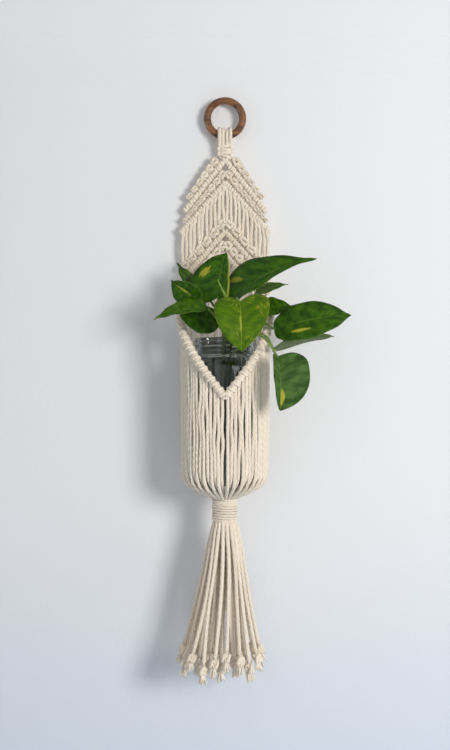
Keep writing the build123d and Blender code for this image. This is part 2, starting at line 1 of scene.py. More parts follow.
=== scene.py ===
import json
import logging
import math
import random
from collections.abc import Callable, Sequence
from dataclasses import dataclass, field
from enum import Enum

import bpy
from mathutils import Matrix, Vector


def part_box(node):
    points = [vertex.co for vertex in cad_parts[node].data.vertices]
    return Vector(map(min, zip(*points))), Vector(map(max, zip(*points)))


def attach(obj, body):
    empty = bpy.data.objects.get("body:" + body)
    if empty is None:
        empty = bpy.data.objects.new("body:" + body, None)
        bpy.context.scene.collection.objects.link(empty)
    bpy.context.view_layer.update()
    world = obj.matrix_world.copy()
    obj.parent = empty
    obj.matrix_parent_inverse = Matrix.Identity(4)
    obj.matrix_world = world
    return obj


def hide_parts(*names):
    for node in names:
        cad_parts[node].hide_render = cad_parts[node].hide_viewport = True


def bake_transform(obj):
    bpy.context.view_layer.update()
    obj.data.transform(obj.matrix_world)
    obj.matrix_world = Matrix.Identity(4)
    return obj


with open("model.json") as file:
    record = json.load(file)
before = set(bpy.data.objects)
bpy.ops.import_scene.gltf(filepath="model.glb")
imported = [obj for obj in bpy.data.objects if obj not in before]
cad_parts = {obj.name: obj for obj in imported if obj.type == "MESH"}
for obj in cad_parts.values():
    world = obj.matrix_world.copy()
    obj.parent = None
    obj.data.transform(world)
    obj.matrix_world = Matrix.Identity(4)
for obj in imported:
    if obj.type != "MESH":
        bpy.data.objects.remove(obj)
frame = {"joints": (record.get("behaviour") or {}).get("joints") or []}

log = logging.getLogger("planter")
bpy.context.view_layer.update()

Colour = tuple[float, float, float]
Place = tuple[float, float, float]
Socket = bpy.types.NodeSocket
Piece = bpy.types.Object
Profile = Sequence[tuple[float, float]]

FRONT = Vector((0, -1, 0))
RIGHT = Vector((1, 0, 0))
UP = Vector((0, 0, 1))
TURN = 2 * math.pi
CORE_TONE = 0.9


class Side(Enum):
    """A half of the planter, as the viewer sees it."""

    LEFT = -1
    RIGHT = 1

    @property
    def word(self) -> str:
        """The side's name in the part's nodes."""
        return self.name.lower()


class Body(Enum):
    """The part's moving bodies."""

    RING = "ring"
    HANGER = "hanger"
    TASSEL = "tassel"
    JAR = "jar"
    PLANT = "plant"


class Slot(Enum):
    """The part's material slots."""

    WOOD = "wood"
    COTTON = "cotton"
    GLASS = "glass"
    WATER = "water"
    STEM = "stem"
    LEAF = "leaf"


@dataclass(frozen=True)
class Layout:
    """Sizes and heights that the sub-assemblies share, in metres."""

    ring_centre_z: float
    ring_mid_r: float
    ring_stock_r: float
    swing_z: float
    top_knot: tuple[Vector, Vector]
    apexes: tuple[float, ...]
    jar_axis_y: float
    jar_r: float
    jar_rim_z: float
    jar_base_z: float
    water_z: float
    wrap_top_z: float
    wrap_low_z: float
    pivot_z: float
    tassel_top_z: float
    jar_heel: float = 0.020
    cord_r: float = 0.002
    core_share: float = 0.9
    bar_r: float = 0.0038
    knot_gap: float = 0.00015
    fit_gap: float = 0.0003
    fall: float = math.radians(48.5)
    first_fall: float = math.radians(52)
    cords_per_side: int = 11
    first_cords: int = 10
    cord_pitch: float = 0.0048
    neckline_drop: float = 0.107
    neckline_rise: float = 0.099

    @classmethod
    def measured(cls) -> "Layout":
        """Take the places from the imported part.

        Returns:
            The layout of this part.
        """
        joints = {joint["name"]: joint for joint in frame["joints"]}
        ring_low, ring_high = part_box("wood_ring")
        stock_r = (ring_high.y - ring_low.y) / 2
        falls = (cls.first_fall, cls.fall, cls.fall, cls.fall)
        cores = [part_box(f"chevron_{number}_core_left")[1] for number in range(1, 5)]
        jar_low, jar_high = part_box("glass_jar")
        wrap_low, wrap_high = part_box("gathering_wrap")
        return cls(
            ring_centre_z=(ring_low.z + ring_high.z) / 2,
            ring_mid_r=(ring_high.x - ring_low.x) / 2 - stock_r,
            ring_stock_r=stock_r,
            swing_z=joints["hanger_swing"]["pos_m"][2],
            top_knot=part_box("top_knot"),
            apexes=tuple(core.z - cls.cord_r * math.cos(fall) for core, fall in zip(cores, falls)),
            jar_axis_y=(jar_low.y + jar_high.y) / 2,
            jar_r=(jar_high.x - jar_low.x) / 2,
            jar_rim_z=jar_high.z,
            jar_base_z=jar_low.z,
            water_z=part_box("water")[1].z,
            wrap_top_z=wrap_high.z,
            wrap_low_z=wrap_low.z,
            pivot_z=joints["tassel_sway"]["pos_m"][2],
            tassel_top_z=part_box("tassel_head")[0].z,
        )

    @property
    def core_r(self) -> float:
        """Radius of a core cord inside its hitches."""
        return self.cord_r * self.core_share

    @property
    def panel_half(self) -> float:
        """Half of the panel's width."""
        return self.cords_per_side * self.cord_pitch

    @property
    def panel_end_z(self) -> float:
        """Height of the lowest chevron's ends."""
        return self.apexes[3] - self.panel_half * math.tan(self.fall)

    def around_jar(self, radius: float, angle: float, z: float) -> Vector:
        """A point round the jar's axis.

        Args:
            radius: Distance from the axis.
            angle: Turn from the front towards the right, in radians.
            z: Height.

        Returns:
            The point.
        """
        return Vector((radius * math.sin(angle), self.jar_axis_y - radius * math.cos(angle), z))

    def fall_of(self, chevron: int) -> float:
        """How steep a chevron's arms are."""
        return self.fall if chevron else self.first_fall

    def arm_pitch(self, chevron: int) -> float:
        """Length of a chevron's arm that one hitch takes."""
        return self.cord_pitch / math.cos(self.fall_of(chevron))

    def arm_length(self, chevron: int) -> float:
        """Length of a chevron's arm."""
        return self.arm_pitch(chevron) * (self.cords_per_side if chevron else self.first_cords)

    def on_arm(self, side: Side, chevron: int, along: float, across: float = 0.0) -> Vector:
        """A point beside a chevron's arm.

        Args:
            side: The arm's side.
            chevron: Which chevron, from the top.
            along: Length down the arm.
            across: Distance from the arm, upwards and outwards.

        Returns:
            The point, in the panel's middle plane.
        """
        inwards, down = math.cos(self.fall_of(chevron)), math.sin(self.fall_of(chevron))
        x = along * inwards + across * down
        z = self.apexes[chevron] - along * down + across * inwards
        return Vector((side.value * x, 0, z))

    def arm_z(self, apex_z: float, x: float, across: float = 0.0) -> float:
        """Height of a line beside a chevron's arm, at the distance x from the middle."""
        return apex_z - abs(x) * math.tan(self.fall) + across / math.cos(self.fall)


class NodeDesk:
    """A node tree in the making, with short calls for its nodes."""

    def __init__(self, tree: bpy.types.NodeTree, shader: bpy.types.Node) -> None:
        """Start work on a tree.

        Args:
            tree: The tree.
            shader: The node in it that gives the look.
        """
        self.tree = tree
        self.shader = shader

    def add(self, kind: str) -> bpy.types.Node:
        """A new shader node of a kind."""
        return self.tree.nodes.new(f"ShaderNode{kind}")

    def feed(self, socket: Socket, value: "Socket | float | Sequence[float]") -> None:
        """Link a socket to another, or set its value.

        Args:
            socket: The socket that is fed.
            value: A socket to link it to, a number, a vector, or a colour.
        """
        if isinstance(value, bpy.types.NodeSocket):
            self.tree.links.new(value, socket)
        elif socket.type == "RGBA":
            socket.default_value = (*value, 1.0)
        else:
            socket.default_value = value

    def settle(self, **values: "Socket | float | Colour") -> None:
        """Feed the shader's own sockets, named with _ for a space."""
        for name, value in values.items():
            self.feed(self.shader.inputs[name.replace("_", " ")], value)

    def work(self, kind: str, operation: str, values: Sequence["Socket | float | Place"]) -> bpy.types.Node:
        """A node that works on values.

        Args:
            kind: The node's kind.
            operation: What it does.
            values: What it works on.

        Returns:
            The node.
        """
        node = self.add(kind)
        node.operation = operation
        for socket, value in zip(node.inputs, values):
            self.feed(socket, value)
        return node

    def sums(self, operation: str, *values: "Socket | float") -> Socket:
        """The result of a Math node."""
        return self.work("Math", operation, values).outputs[0]

    def vectors(self, operation: str, *values: "Socket | Place") -> bpy.types.Node:
        """A Vector Math node."""
        return self.work("VectorMath", operation, values)

    def coords(self, layer: str) -> Socket:
        """The coordinates that a mesh's layer holds.

        Args:
            layer: The layer's name.

        Returns:
            The coordinates.
        """
        node = self.add("UVMap")
        node.uv_map = layer
        return node.outputs[0]

    def split(self, vector: Socket) -> tuple[Socket, Socket]:
        """Take a vector apart.

        Args:
            vector: The vector.

        Returns:
            Its first two parts.
        """
        node = self.add("SeparateXYZ")
        self.feed(node.inputs[0], vector)
        return node.outputs[0], node.outputs[1]

    def place(self, scale: Place) -> Socket:
        """Places on the object, stretched by scale."""
        coords = self.add("TexCoord").outputs["Object"]
        return self.vectors("MULTIPLY", coords, scale).outputs[0]

    def noise(self, vector: Socket, scale: float, detail: float = 3.0) -> Socket:
        """Noise from 0 to 1.

        Args:
            vector: Where it is read.
            scale: How fine it is.
            detail: How many finer layers it has.

        Returns:
            The noise.
        """
        node = self.add("TexNoise")
        self.feed(node.inputs["Vector"], vector)
        node.inputs["Scale"].default_value = scale
        node.inputs["Detail"].default_value = detail
        return node.outputs[0]

    def attribute(self, name: str) -> Socket:
        """A number that the mesh holds at each point.

        Args:
            name: The attribute's name.

        Returns:
            The number.
        """
        node = self.add("Attribute")
        node.attribute_name = name
        return node.outputs["Fac"]

    def between(self, value: Socket, low: float, high: float) -> Socket:
        """A smooth step.

        Args:
            value: What it depends on.
            low: Where it is 0.
            high: Where it is 1, which may lie under low.

        Returns:
            The step, from 0 to 1.
        """
        node = self.add("MapRange")
        node.interpolation_type = "SMOOTHSTEP"
        self.feed(node.inputs["Value"], value)
        node.inputs["From Min"].default_value = low
        node.inputs["From Max"].default_value = high
        return node.outputs[0]

    def mix(self, share: Socket, first: "Socket | Colour", second: "Socket | Colour") -> Socket:
        """A colour between two.

        Args:
            share: 0 for the first and 1 for the second.
            first: A colour.
            second: Another one.

        Returns:
            The mixed colour.
        """
        node = self.add("Mix")
        node.data_type = "RGBA"
        self.feed(node.inputs["Factor"], share)
        for name, colour in (("A", first), ("B", second)):
            self.feed(next(s for s in node.inputs if s.name == name and s.type == "RGBA"), colour)
        return next(s for s in node.outputs if s.type == "RGBA")

    def bump(self, height: Socket, distance: float, strength: float = 1.0) -> None:
        """Give the shader a relief.

        Args:
            height: The relief, from 0 to 1.
            distance: Its depth, in metres.
            strength: How much of it shows.
        """
        node = self.add("Bump")
        node.inputs["Distance"].default_value = distance
        node.inputs["Strength"].default_value = strength
        self.feed(node.inputs["Height"], height)
        self.settle(Normal=node.outputs[0])


class MaterialDesk(NodeDesk):
    """A material in the making."""

    def __init__(self, name: str) -> None:
        """Start a material.

        Args:
            name: The material's name.
        """
        self.material = bpy.data.materials.new(name)
        self.material.use_nodes = True
        tree = self.material.node_tree
        tree.nodes.clear()
        super().__init__(tree, tree.nodes.new("ShaderNodeBsdfPrincipled"))
        self.surface = self.add("OutputMaterial").inputs["Surface"]
        self.feed(self.surface, self.shader.outputs[0])


class SkyDesk(NodeDesk):
    """The world in the making."""

    def __init__(self, name: str) -> None:
        """Start a world.

        Args:
            name: The world's name.
        """
        self.world = bpy.data.worlds.new(name)
        self.world.use_nodes = True
        tree = self.world.node_tree
        super().__init__(tree, tree.nodes["Background"])


@dataclass(frozen=True)
class CottonFinish:
    """Undyed cotton cord: a round braid with fine fibres, and painted shade in the braid's grooves."""

    name: str = "undyed_cotton"
    pale: Colour = (0.88, 0.80, 0.675)
    # Each cord's random tone and patches lean towards this colour, and so does the painted shade in the
    # braid's grooves.
    deep: Colour = (0.66, 0.545, 0.41)
    braid_pitch: float = 0.0075
    braid_strands: int = 3
    fibre_grain: float = 1500.0
    patch_grain: float = 55.0
    relief: float = 0.00022

    def material(self) -> bpy.types.Material:
        """Make the material.

        Returns:
            The material.
        """
        desk = MaterialDesk(self.name)
        along, round_cord = desk.split(desk.coords("cord"))
        forward = desk.sums("MULTIPLY", along, TURN / self.braid_pitch)
        across = desk.sums("MULTIPLY", round_cord, TURN * self.braid_strands)
        one_way = desk.sums("SINE", desk.sums("ADD", forward, across))
        other_way = desk.sums("SINE", desk.sums("SUBTRACT", forward, across))
        braid = desk.sums("MAXIMUM", one_way, other_way)
        fibres = desk.noise(desk.place((1, 1, 1)), self.fibre_grain)
        patches = desk.noise(desk.place((1, 1, 0.5)), self.patch_grain)
        relief = desk.sums("MULTIPLY_ADD", fibres, 0.9, braid)
        # Painted shade: the braid's grooves pull the colour a fifth further towards the deep colour, on top
        # of each cord's random tone.
        painted_groove_shade = desk.between(braid, 0.9, -0.2)
        tone = desk.sums("MULTIPLY_ADD", desk.attribute("tone"), 0.30, desk.sums("MULTIPLY", painted_groove_shade, 0.20))
        share = desk.sums("MULTIPLY_ADD", patches, 0.30, tone)
        desk.settle(Base_Color=desk.mix(share, self.pale, self.deep))
        desk.settle(Roughness=0.92, Specular_IOR_Level=0.2, Sheen_Weight=0.25, Sheen_Roughness=0.5)
        desk.bump(relief, self.relief)
        return desk.material


@dataclass(frozen=True)
class FluffFinish:
    """Loose cotton fibres at a cord's cut end."""

    name: str = "cotton_fluff"
    pale: Colour = (0.90, 0.84, 0.73)
    deep: Colour = (0.76, 0.67, 0.54)
    patch_grain: float = 300.0

    def material(self) -> bpy.types.Material:
        """Make the material.

        Returns:
            The material.
        """
        desk = MaterialDesk(self.name)
        patches = desk.noise(desk.place((1, 1, 1)), self.patch_grain)
        share = desk.sums("MULTIPLY_ADD", desk.attribute("tone"), 0.5, desk.sums("MULTIPLY", patches, 0.4))
        desk.settle(Base_Color=desk.mix(share, self.pale, self.deep))
        desk.settle(Roughness=0.95, Specular_IOR_Level=0.1, Sheen_Weight=0.4, Sheen_Roughness=0.4)
        return desk.material


@dataclass(frozen=True)
class WoodFinish:
    """Turned brown wood with an oiled satin surface and grain across the ring."""

    name: str = "oiled_wood"
    light: Colour = (0.250, 0.105, 0.036)
    dark: Colour = (0.068, 0.026, 0.009)
    stretch: Place = (14.0, 160.0, 160.0)
    figure_grain: float = 1.6
    pore_grain: float = 9.0

    def material(self) -> bpy.types.Material:
        """Make the material.

        Returns:
            The material.
        """
        desk = MaterialDesk(self.name)
        figure = desk.noise(desk.place(self.stretch), self.figure_grain, 5.0)
        pores = desk.noise(desk.place(self.stretch), self.pore_grain, 2.0)
        share = desk.between(desk.sums("MULTIPLY_ADD", pores, 0.25, figure), 0.42, 0.80)
        desk.settle(Base_Color=desk.mix(share, self.dark, self.light))
        desk.settle(Roughness=desk.sums("MULTIPLY_ADD", pores, 0.2, 0.30))
        desk.settle(Specular_IOR_Level=0.35, Coat_Weight=0.32, Coat_Roughness=0.2)
        desk.bump(pores, 0.0003, 0.35)
        return desk.material


@dataclass(frozen=True)
class ClearFinish:
    """Something clear: pressed glass or water, with a slightly uneven surface and a colour darkened as
    painted shade.
    """

    name: str
    # Its colour: a faint tint of its own, darkened as painted shade for the shaded pocket behind the jar.
    tint: Colour
    ior: float
    unevenness: float
    grain: float

    def material(self) -> bpy.types.Material:
        """Make the material.

        Returns:
            The material.
        """
        desk = MaterialDesk(self.name)
        ripple = desk.noise(desk.place((1, 1, 0.6)), self.grain, 2.0)
        desk.settle(Base_Color=self.tint, IOR=self.ior, Transmission_Weight=1.0)
        desk.settle(Roughness=desk.sums("MULTIPLY", ripple, 0.04))
        desk.bump(ripple, self.unevenness)
        return desk.material


@dataclass(frozen=True)
class StemFinish:
    """A living stem or root, streaked along its length."""

    name: str
    fresh: Colour
    deep: Colour
    streak_grain: float = 420.0

    def material(self) -> bpy.types.Material:
        """Make the material.

        Returns:
            The material.
        """
        desk = MaterialDesk(self.name)
        streaks = desk.noise(desk.place((1, 1, 0.25)), self.streak_grain)
        share = desk.sums("MULTIPLY_ADD", desk.attribute("tone"), 0.4, desk.between(streaks, 0.3, 0.75))
        desk.settle(Base_Color=desk.mix(share, self.deep, self.fresh))
        desk.settle(Roughness=0.42, Subsurface_Weight=0.05, Subsurface_Scale=0.002)
        desk.bump(streaks, 0.0002, 0.5)
        return desk.material


@dataclass(frozen=True)
class Streak:
    """A yellow patch on a leaf: along and across the blade, from 0 to 1, and its half lengths."""

    along: float
    across: float
    half_long: float
    half_wide: float
    strength: float = 0.85


@dataclass(frozen=True)
class LeafFinish:
    """A pothos leaf: marbling, veins, a midrib, flecks, and yellow streaks of its own."""

    name: str
    deep: Colour = (0.012, 0.052, 0.002)
    fresh: Colour = (0.042, 0.122, 0.003)
    yellow: Colour = (0.42, 0.40, 0.04)
    midrib: Colour = (0.11, 0.20, 0.02)
    flecks: float = 0.62
    veins: int = 9
    vein_slant: float = 0.35
    rib_half: float = 0.022
    streaks: tuple[Streak, ...] = ()

    def material(self) -> bpy.types.Material:
        """Make the material.

        Returns:
            The material.
        """
        desk = MaterialDesk(self.name)
        blade = desk.coords("blade")
        along, across = desk.split(blade)
        marbling = desk.noise(desk.vectors("MULTIPLY", blade, (7.0, 2.6, 1.0)).outputs[0], 1.4, 4.0)
        drift = desk.noise(desk.place((1, 1, 1)), 60.0, 4.0)
        fray = desk.noise(desk.vectors("MULTIPLY", blade, (5.0, 16.0, 1.0)).outputs[0], 2.0, 5.0)
        from_middle = desk.sums("ABSOLUTE", desk.sums("SUBTRACT", across, 0.5))
        bent = desk.sums("MULTIPLY_ADD", from_middle, -self.vein_slant, along)
        vein = desk.sums("SINE", desk.sums("MULTIPLY", bent, TURN * self.veins))
        rib = desk.between(from_middle, self.rib_half, 0.004)
        colour = desk.mix(desk.between(marbling, 0.34, 0.68), self.deep, self.fresh)
        shade = desk.sums("MULTIPLY", desk.between(vein, 0.80, 1.0), 0.10)
        colour = desk.mix(shade, colour, self.midrib)
        speckle = desk.sums("MULTIPLY_ADD", fray, 0.5, desk.sums("MULTIPLY", drift, 0.5))
        fleck = desk.sums("MULTIPLY", desk.between(speckle, self.flecks, self.flecks + 0.08), 0.45)
        colour = desk.mix(fleck, colour, self.yellow)
        for streak in self.streaks:
            colour = desk.mix(self.streak_share(desk, blade, fray, streak), colour, self.yellow)
        colour = desk.mix(desk.sums("MULTIPLY", rib, 0.5), colour, self.midrib)
        edge = desk.sums("MULTIPLY", desk.between(from_middle, 0.47, 0.5), 0.35)
        colour = desk.mix(edge, colour, self.midrib)
        desk.settle(Base_Color=colour, Roughness=desk.sums("MULTIPLY_ADD", marbling, 0.16, 0.36))
        desk.settle(Specular_IOR_Level=0.16, Subsurface_Weight=0.05, Subsurface_Scale=0.0012)
        hollow = desk.sums("MULTIPLY", desk.between(from_middle, 0.05, 0.0), -1.6)
        desk.bump(desk.sums("MULTIPLY_ADD", vein, -0.4, hollow), 0.0004, 0.5)
        return desk.material

    @staticmethod
    def streak_share(desk: NodeDesk, blade: Socket, fray: Socket, streak: Streak) -> Socket:
        """How much of a streak shows at each place.

        Args:
            desk: The material in the making.
            blade: Coordinates on the blade.
            fray: Noise that frays the streak's edge.
            streak: The streak.

        Returns:
            The share, from 0 to 1.
        """
        offset = desk.vectors("SUBTRACT", blade, (streak.along, streak.across, 0)).outputs[0]
        scale = (1 / streak.half_long, 1 / streak.half_wide, 0)
        reach = desk.vectors("LENGTH", desk.vectors("MULTIPLY", offset, scale).outputs[0])
        frayed = desk.sums("MULTIPLY_ADD", fray, 1.6, reach.outputs["Value"])
        return desk.sums("MULTIPLY", desk.between(frayed, 1.85, 1.35), streak.strength)


def smooth_line(controls: Sequence[Vector], steps: int = 8) -> list[Vector]:
    """Points on the smooth curve that a route's points control.

    Args:
        controls: The route's points.
        steps: Points on the curve for each point of the route.

    Returns:
        The curve's points, from end to end.
    """
    curve = bpy.data.curves.new("route", "CURVE")
    curve.dimensions = "3D"
    spline = curve.splines.new("NURBS")
    spline.points.add(len(controls) - 1)
    for point, place in zip(spline.points, controls):
        point.co = (*place, 1.0)
    spline.order_u = 3
    spline.use_endpoint_u = True
    spline.resolution_u = steps
    carrier = bpy.data.objects.new("route", curve)
    mesh = bpy.data.meshes.new_from_object(carrier)
    line = [vertex.co.copy() for vertex in mesh.vertices]
    bpy.data.objects.remove(carrier)
    bpy.data.meshes.remove(mesh)
    bpy.data.curves.remove(curve)
    return line


def reaches_along(line: Sequence[Vector]) -> list[float]:
    """Length along a line, from its start to each of its points.

    Args:
        line: The points.

    Returns:
        A length for each point.
    """
    reaches = [0.0]
    for a, b in zip(line, line[1:]):
        reaches.append(reaches[-1] + (b - a).length)
    return reaches


def moving_frames(line: Sequence[Vector], hint: Vector) -> list[tuple[Vector, Vector]]:
    """Two directions across a line at each of its points, without needless twist.

    Args:
        line: The points.
        hint: About where the first direction points at the start.

    Returns:
        A pair of directions for each point.
    """
    last = len(line) - 1
    frames = []
    first = hint.copy()
    for index in range(last + 1):
        heading = (line[min(index + 1, last)] - line[max(index - 1, 0)]).normalized()
        first = first - heading * first.dot(heading)
        if first.length < 1e-6:
            first = heading.orthogonal()
        first.normalize()
        frames.append((first.copy(), heading.cross(first)))
    return frames


def wobble(rng: random.Random, waves: int = 3) -> Callable[[float], float]:
    """A smooth random function of a share from 0 to 1, about -1 to 1.

    Args:
        rng: Where its phases come from.
        waves: How many waves it adds up.

    Returns:
        The function.
    """
    parts = [(rng.uniform(0.6, 2.6), rng.uniform(0, TURN)) for _ in range(waves)]
    return lambda share: sum(math.sin(TURN * rate * share + phase) for rate, phase in parts) / waves


def wound(
    axis: Sequence[Vector],
    hint: Vector,
    radius: float,
    hitch: float,
    hand: int,
    rng: random.Random,
    bulge: float = 0.07,
) -> list[Vector]:
    """The line of a cord that is hitched along an axis, two turns to a hitch.

    Args:
        axis: The core cord's line.
        hint: Where the first turn starts.
        radius: Distance of the turns from the core's middle.
        hitch: Length of the core that a hitch takes.
        hand: 1 or -1, for the way the turns go.
        rng: Gives each hitch its own tightness.
        bulge: How much a hitch swells between its ends.

    Returns:
        The line.
    """
    points_per_turn = 14
    frames = moving_frames(axis, hint)
    reaches = reaches_along(axis)
    total = reaches[-1]
    count = int(total / hitch * 2 * points_per_turn)
    loose = wobble(rng, 4)
    segment = 0
    line = []
    for step in range(count + 1):
        reach = total * step / count
        while segment < len(axis) - 2 and reaches[segment + 1] < reach:
            segment += 1
        share = (reach - reaches[segment]) / (reaches[segment + 1] - reaches[segment])
        centre = axis[segment].lerp(axis[segment + 1], share)
        first = frames[segment][0].lerp(frames[segment + 1][0], share)
        second = frames[segment][1].lerp(frames[segment + 1][1], share)
        within = TURN * reach / hitch
        turn = hand * (2 * within + 0.55 * math.sin(within))
        swell = radius * (1 - bulge * math.cos(within) + 0.05 * loose(7 * step / count))
        line.append(centre + (first * math.cos(turn) + second * math.sin(turn)) * swell)
    return line


class Weave:
    """Gathers tubes into one mesh, with cord coordinates on its faces."""

    def __init__(self) -> None:
        """Start with nothing."""
        self.points: list[Vector] = []
        self.faces: list[tuple[int, ...]] = []
        self.coords: list[tuple[float, float]] = []
        self.tones: list[float] = []

    def tube(
        self,
        line: Sequence[Vector],
        radius: float | Sequence[float],
        sides: int = 10,
        tone: float = 0.5,
        hint: Vector = FRONT,
        flat: float = 1.0,
    ) -> None:
        """Add a tube with closed ends.

        Args:
            line: Its middle line.
            radius: Its radius, or one for each point.
            sides: How many sides it has.
            tone: How deep its colour is, from 0 to 1.
            hint: Where its first side points.
            flat: Its thickness towards the hint, against its width.
        """
        radii = radius if isinstance(radius, Sequence) else [radius] * len(line)
        first_point = len(self.points)
        reaches = reaches_along(line)
        for centre, half, (first, second) in zip(line, radii, moving_frames(line, hint)):
            for side in range(sides):
                angle = TURN * side / sides
                across = first * (math.cos(angle) * flat) + second * math.sin(angle)
                self.points.append(centre + across * half)
        self.tones += [tone] * (len(line) * sides)
        for ring in range(len(line) - 1):
            start = first_point + ring * sides
            for side in range(sides):
                other = (side + 1) % sides
                self.faces.append((start + side, start + other, start + sides + other, start + sides + side))
                left, right = side / sides, (side + 1) / sides
                low, high = reaches[ring], reaches[ring + 1]
                self.coords += [(low, left), (low, right), (high, right), (high, left)]
        end = first_point + (len(line) - 1) * sides
        self.faces.append(tuple(first_point + side for side in reversed(range(sides))))
        self.faces.append(tuple(end + side for side in range(sides)))
        self.coords += [(0.0, 0.5)] * sides + [(reaches[-1], 0.5)] * sides

    def piece(self, name: str, material: bpy.types.Material, layer: str = "cord") -> Piece:
        """Turn what was gathered into an object.

        Args:
            name: The object's name.
            material: Its material.
            layer: Name of the coordinates.

        Returns:
            The object.
        """
        mesh = bpy.data.meshes.new(name)
        mesh.from_pydata(self.points, [], self.faces)
        coords = mesh.uv_layers.new(name=layer)
        coords.data.foreach_set("uv", [number for pair in self.coords for number in pair])
        tones = mesh.attributes.new("tone", "FLOAT", "POINT")
        tones.data.foreach_set("value", self.tones)
        mesh.polygons.foreach_set("use_smooth", [True] * len(mesh.polygons))
        mesh.materials.append(material)
        piece = bpy.data.objects.new(name, mesh)
        bpy.context.scene.collection.objects.link(piece)
        return piece


def dress(piece: Piece, body: Body, slot: Slot, *nodes: str) -> Piece:
    """Set a piece on its body, in place of the part's solids.

    Args:
        piece: The piece.
        body: The body that it moves with.
        slot: The material slot that the piece stands for; not used.
        nodes: The solids that it stands for.

    Returns:
        The piece.
    """
    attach(piece, body.value)
    if nodes:
        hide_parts(*nodes)
    log.info("%s rides on %s", piece.name, body.value)
    return piece


@dataclass
class SquareKnot:
    """A square knot in cord: two core cords, with two cords tied over and under them."""

    half_width: float
    half_height: float
    cord_r: float

    def lines(self) -> list[list[Vector]]:
        """The knot's cords, across X, towards the front in Y and up in Z.

        Returns:
            A line for each cord of the knot.
        """
        a, b, r = self.half_width, self.half_height, self.cord_r
        lines = []
        for x in (-0.95 * r, 0.95 * r):
            lines.append([Vector((x, 0, -b - 0.4 * r)), Vector((x, 0, 0)), Vector((x, 0, b + 0.4 * r))])
        for half in (1, -1):
            z = half * b * 0.52
            for face in (1, -1):
                way = half * face
                route = [(-1.0, -0.4, 0.5), (-0.62, 1.5, 0.42), (0.0, 1.88, 0.0)]
                route += [(-x, y, -dz) for x, y, dz in reversed(route[:2])]
                lines.append([Vector((way * x * a, face * y * r, z + dz * r)) for x, y, dz in route])
        for side in (1, -1):
            route = [(0.55, -1.0, 0.95), (0.95, 0.4, 0.62), (1.08, 1.25, 0.0)]
            route += [(x, y, -z) for x, y, z in reversed(route[:2])]
            lines.append([Vector((side * x * a, y * r, z * b)) for x, y, z in route])
        return [smooth_line(line, 4) for line in lines]

    def tie(self, weave: Weave, place: Matrix, rng: random.Random) -> None:
        """Add the knot at a place.

        Args:
            weave: The mesh in the making.
            place: Where the knot goes.
            rng: Gives the knot its own lie.
        """
        turn = Matrix.Rotation(rng.uniform(-0.16, 0.16), 4, "Y")
        size = Matrix.Diagonal((rng.uniform(0.93, 1.05), rng.uniform(0.95, 1.06), rng.uniform(0.95, 1.03), 1))
        lie = place @ turn @ size
        tone = rng.random()
        for line in self.lines():
            weave.tube([lie @ point for point in line], self.cord_r * rng.uniform(0.95, 1.04), 8, tone)


def knot_place(middle: Vector, upwards: Vector) -> Matrix:
    """The place of a knot that faces the front.

    Args:
        middle: The knot's middle.
        upwards: The way its core cords run.

    Returns:
        A matrix from the knot's own axes.
    """
    across = upwards.cross(FRONT).normalized() * -1
    place = Matrix((across, FRONT, upwards.normalized())).transposed().to_4x4()
    place.translation = middle
    return place


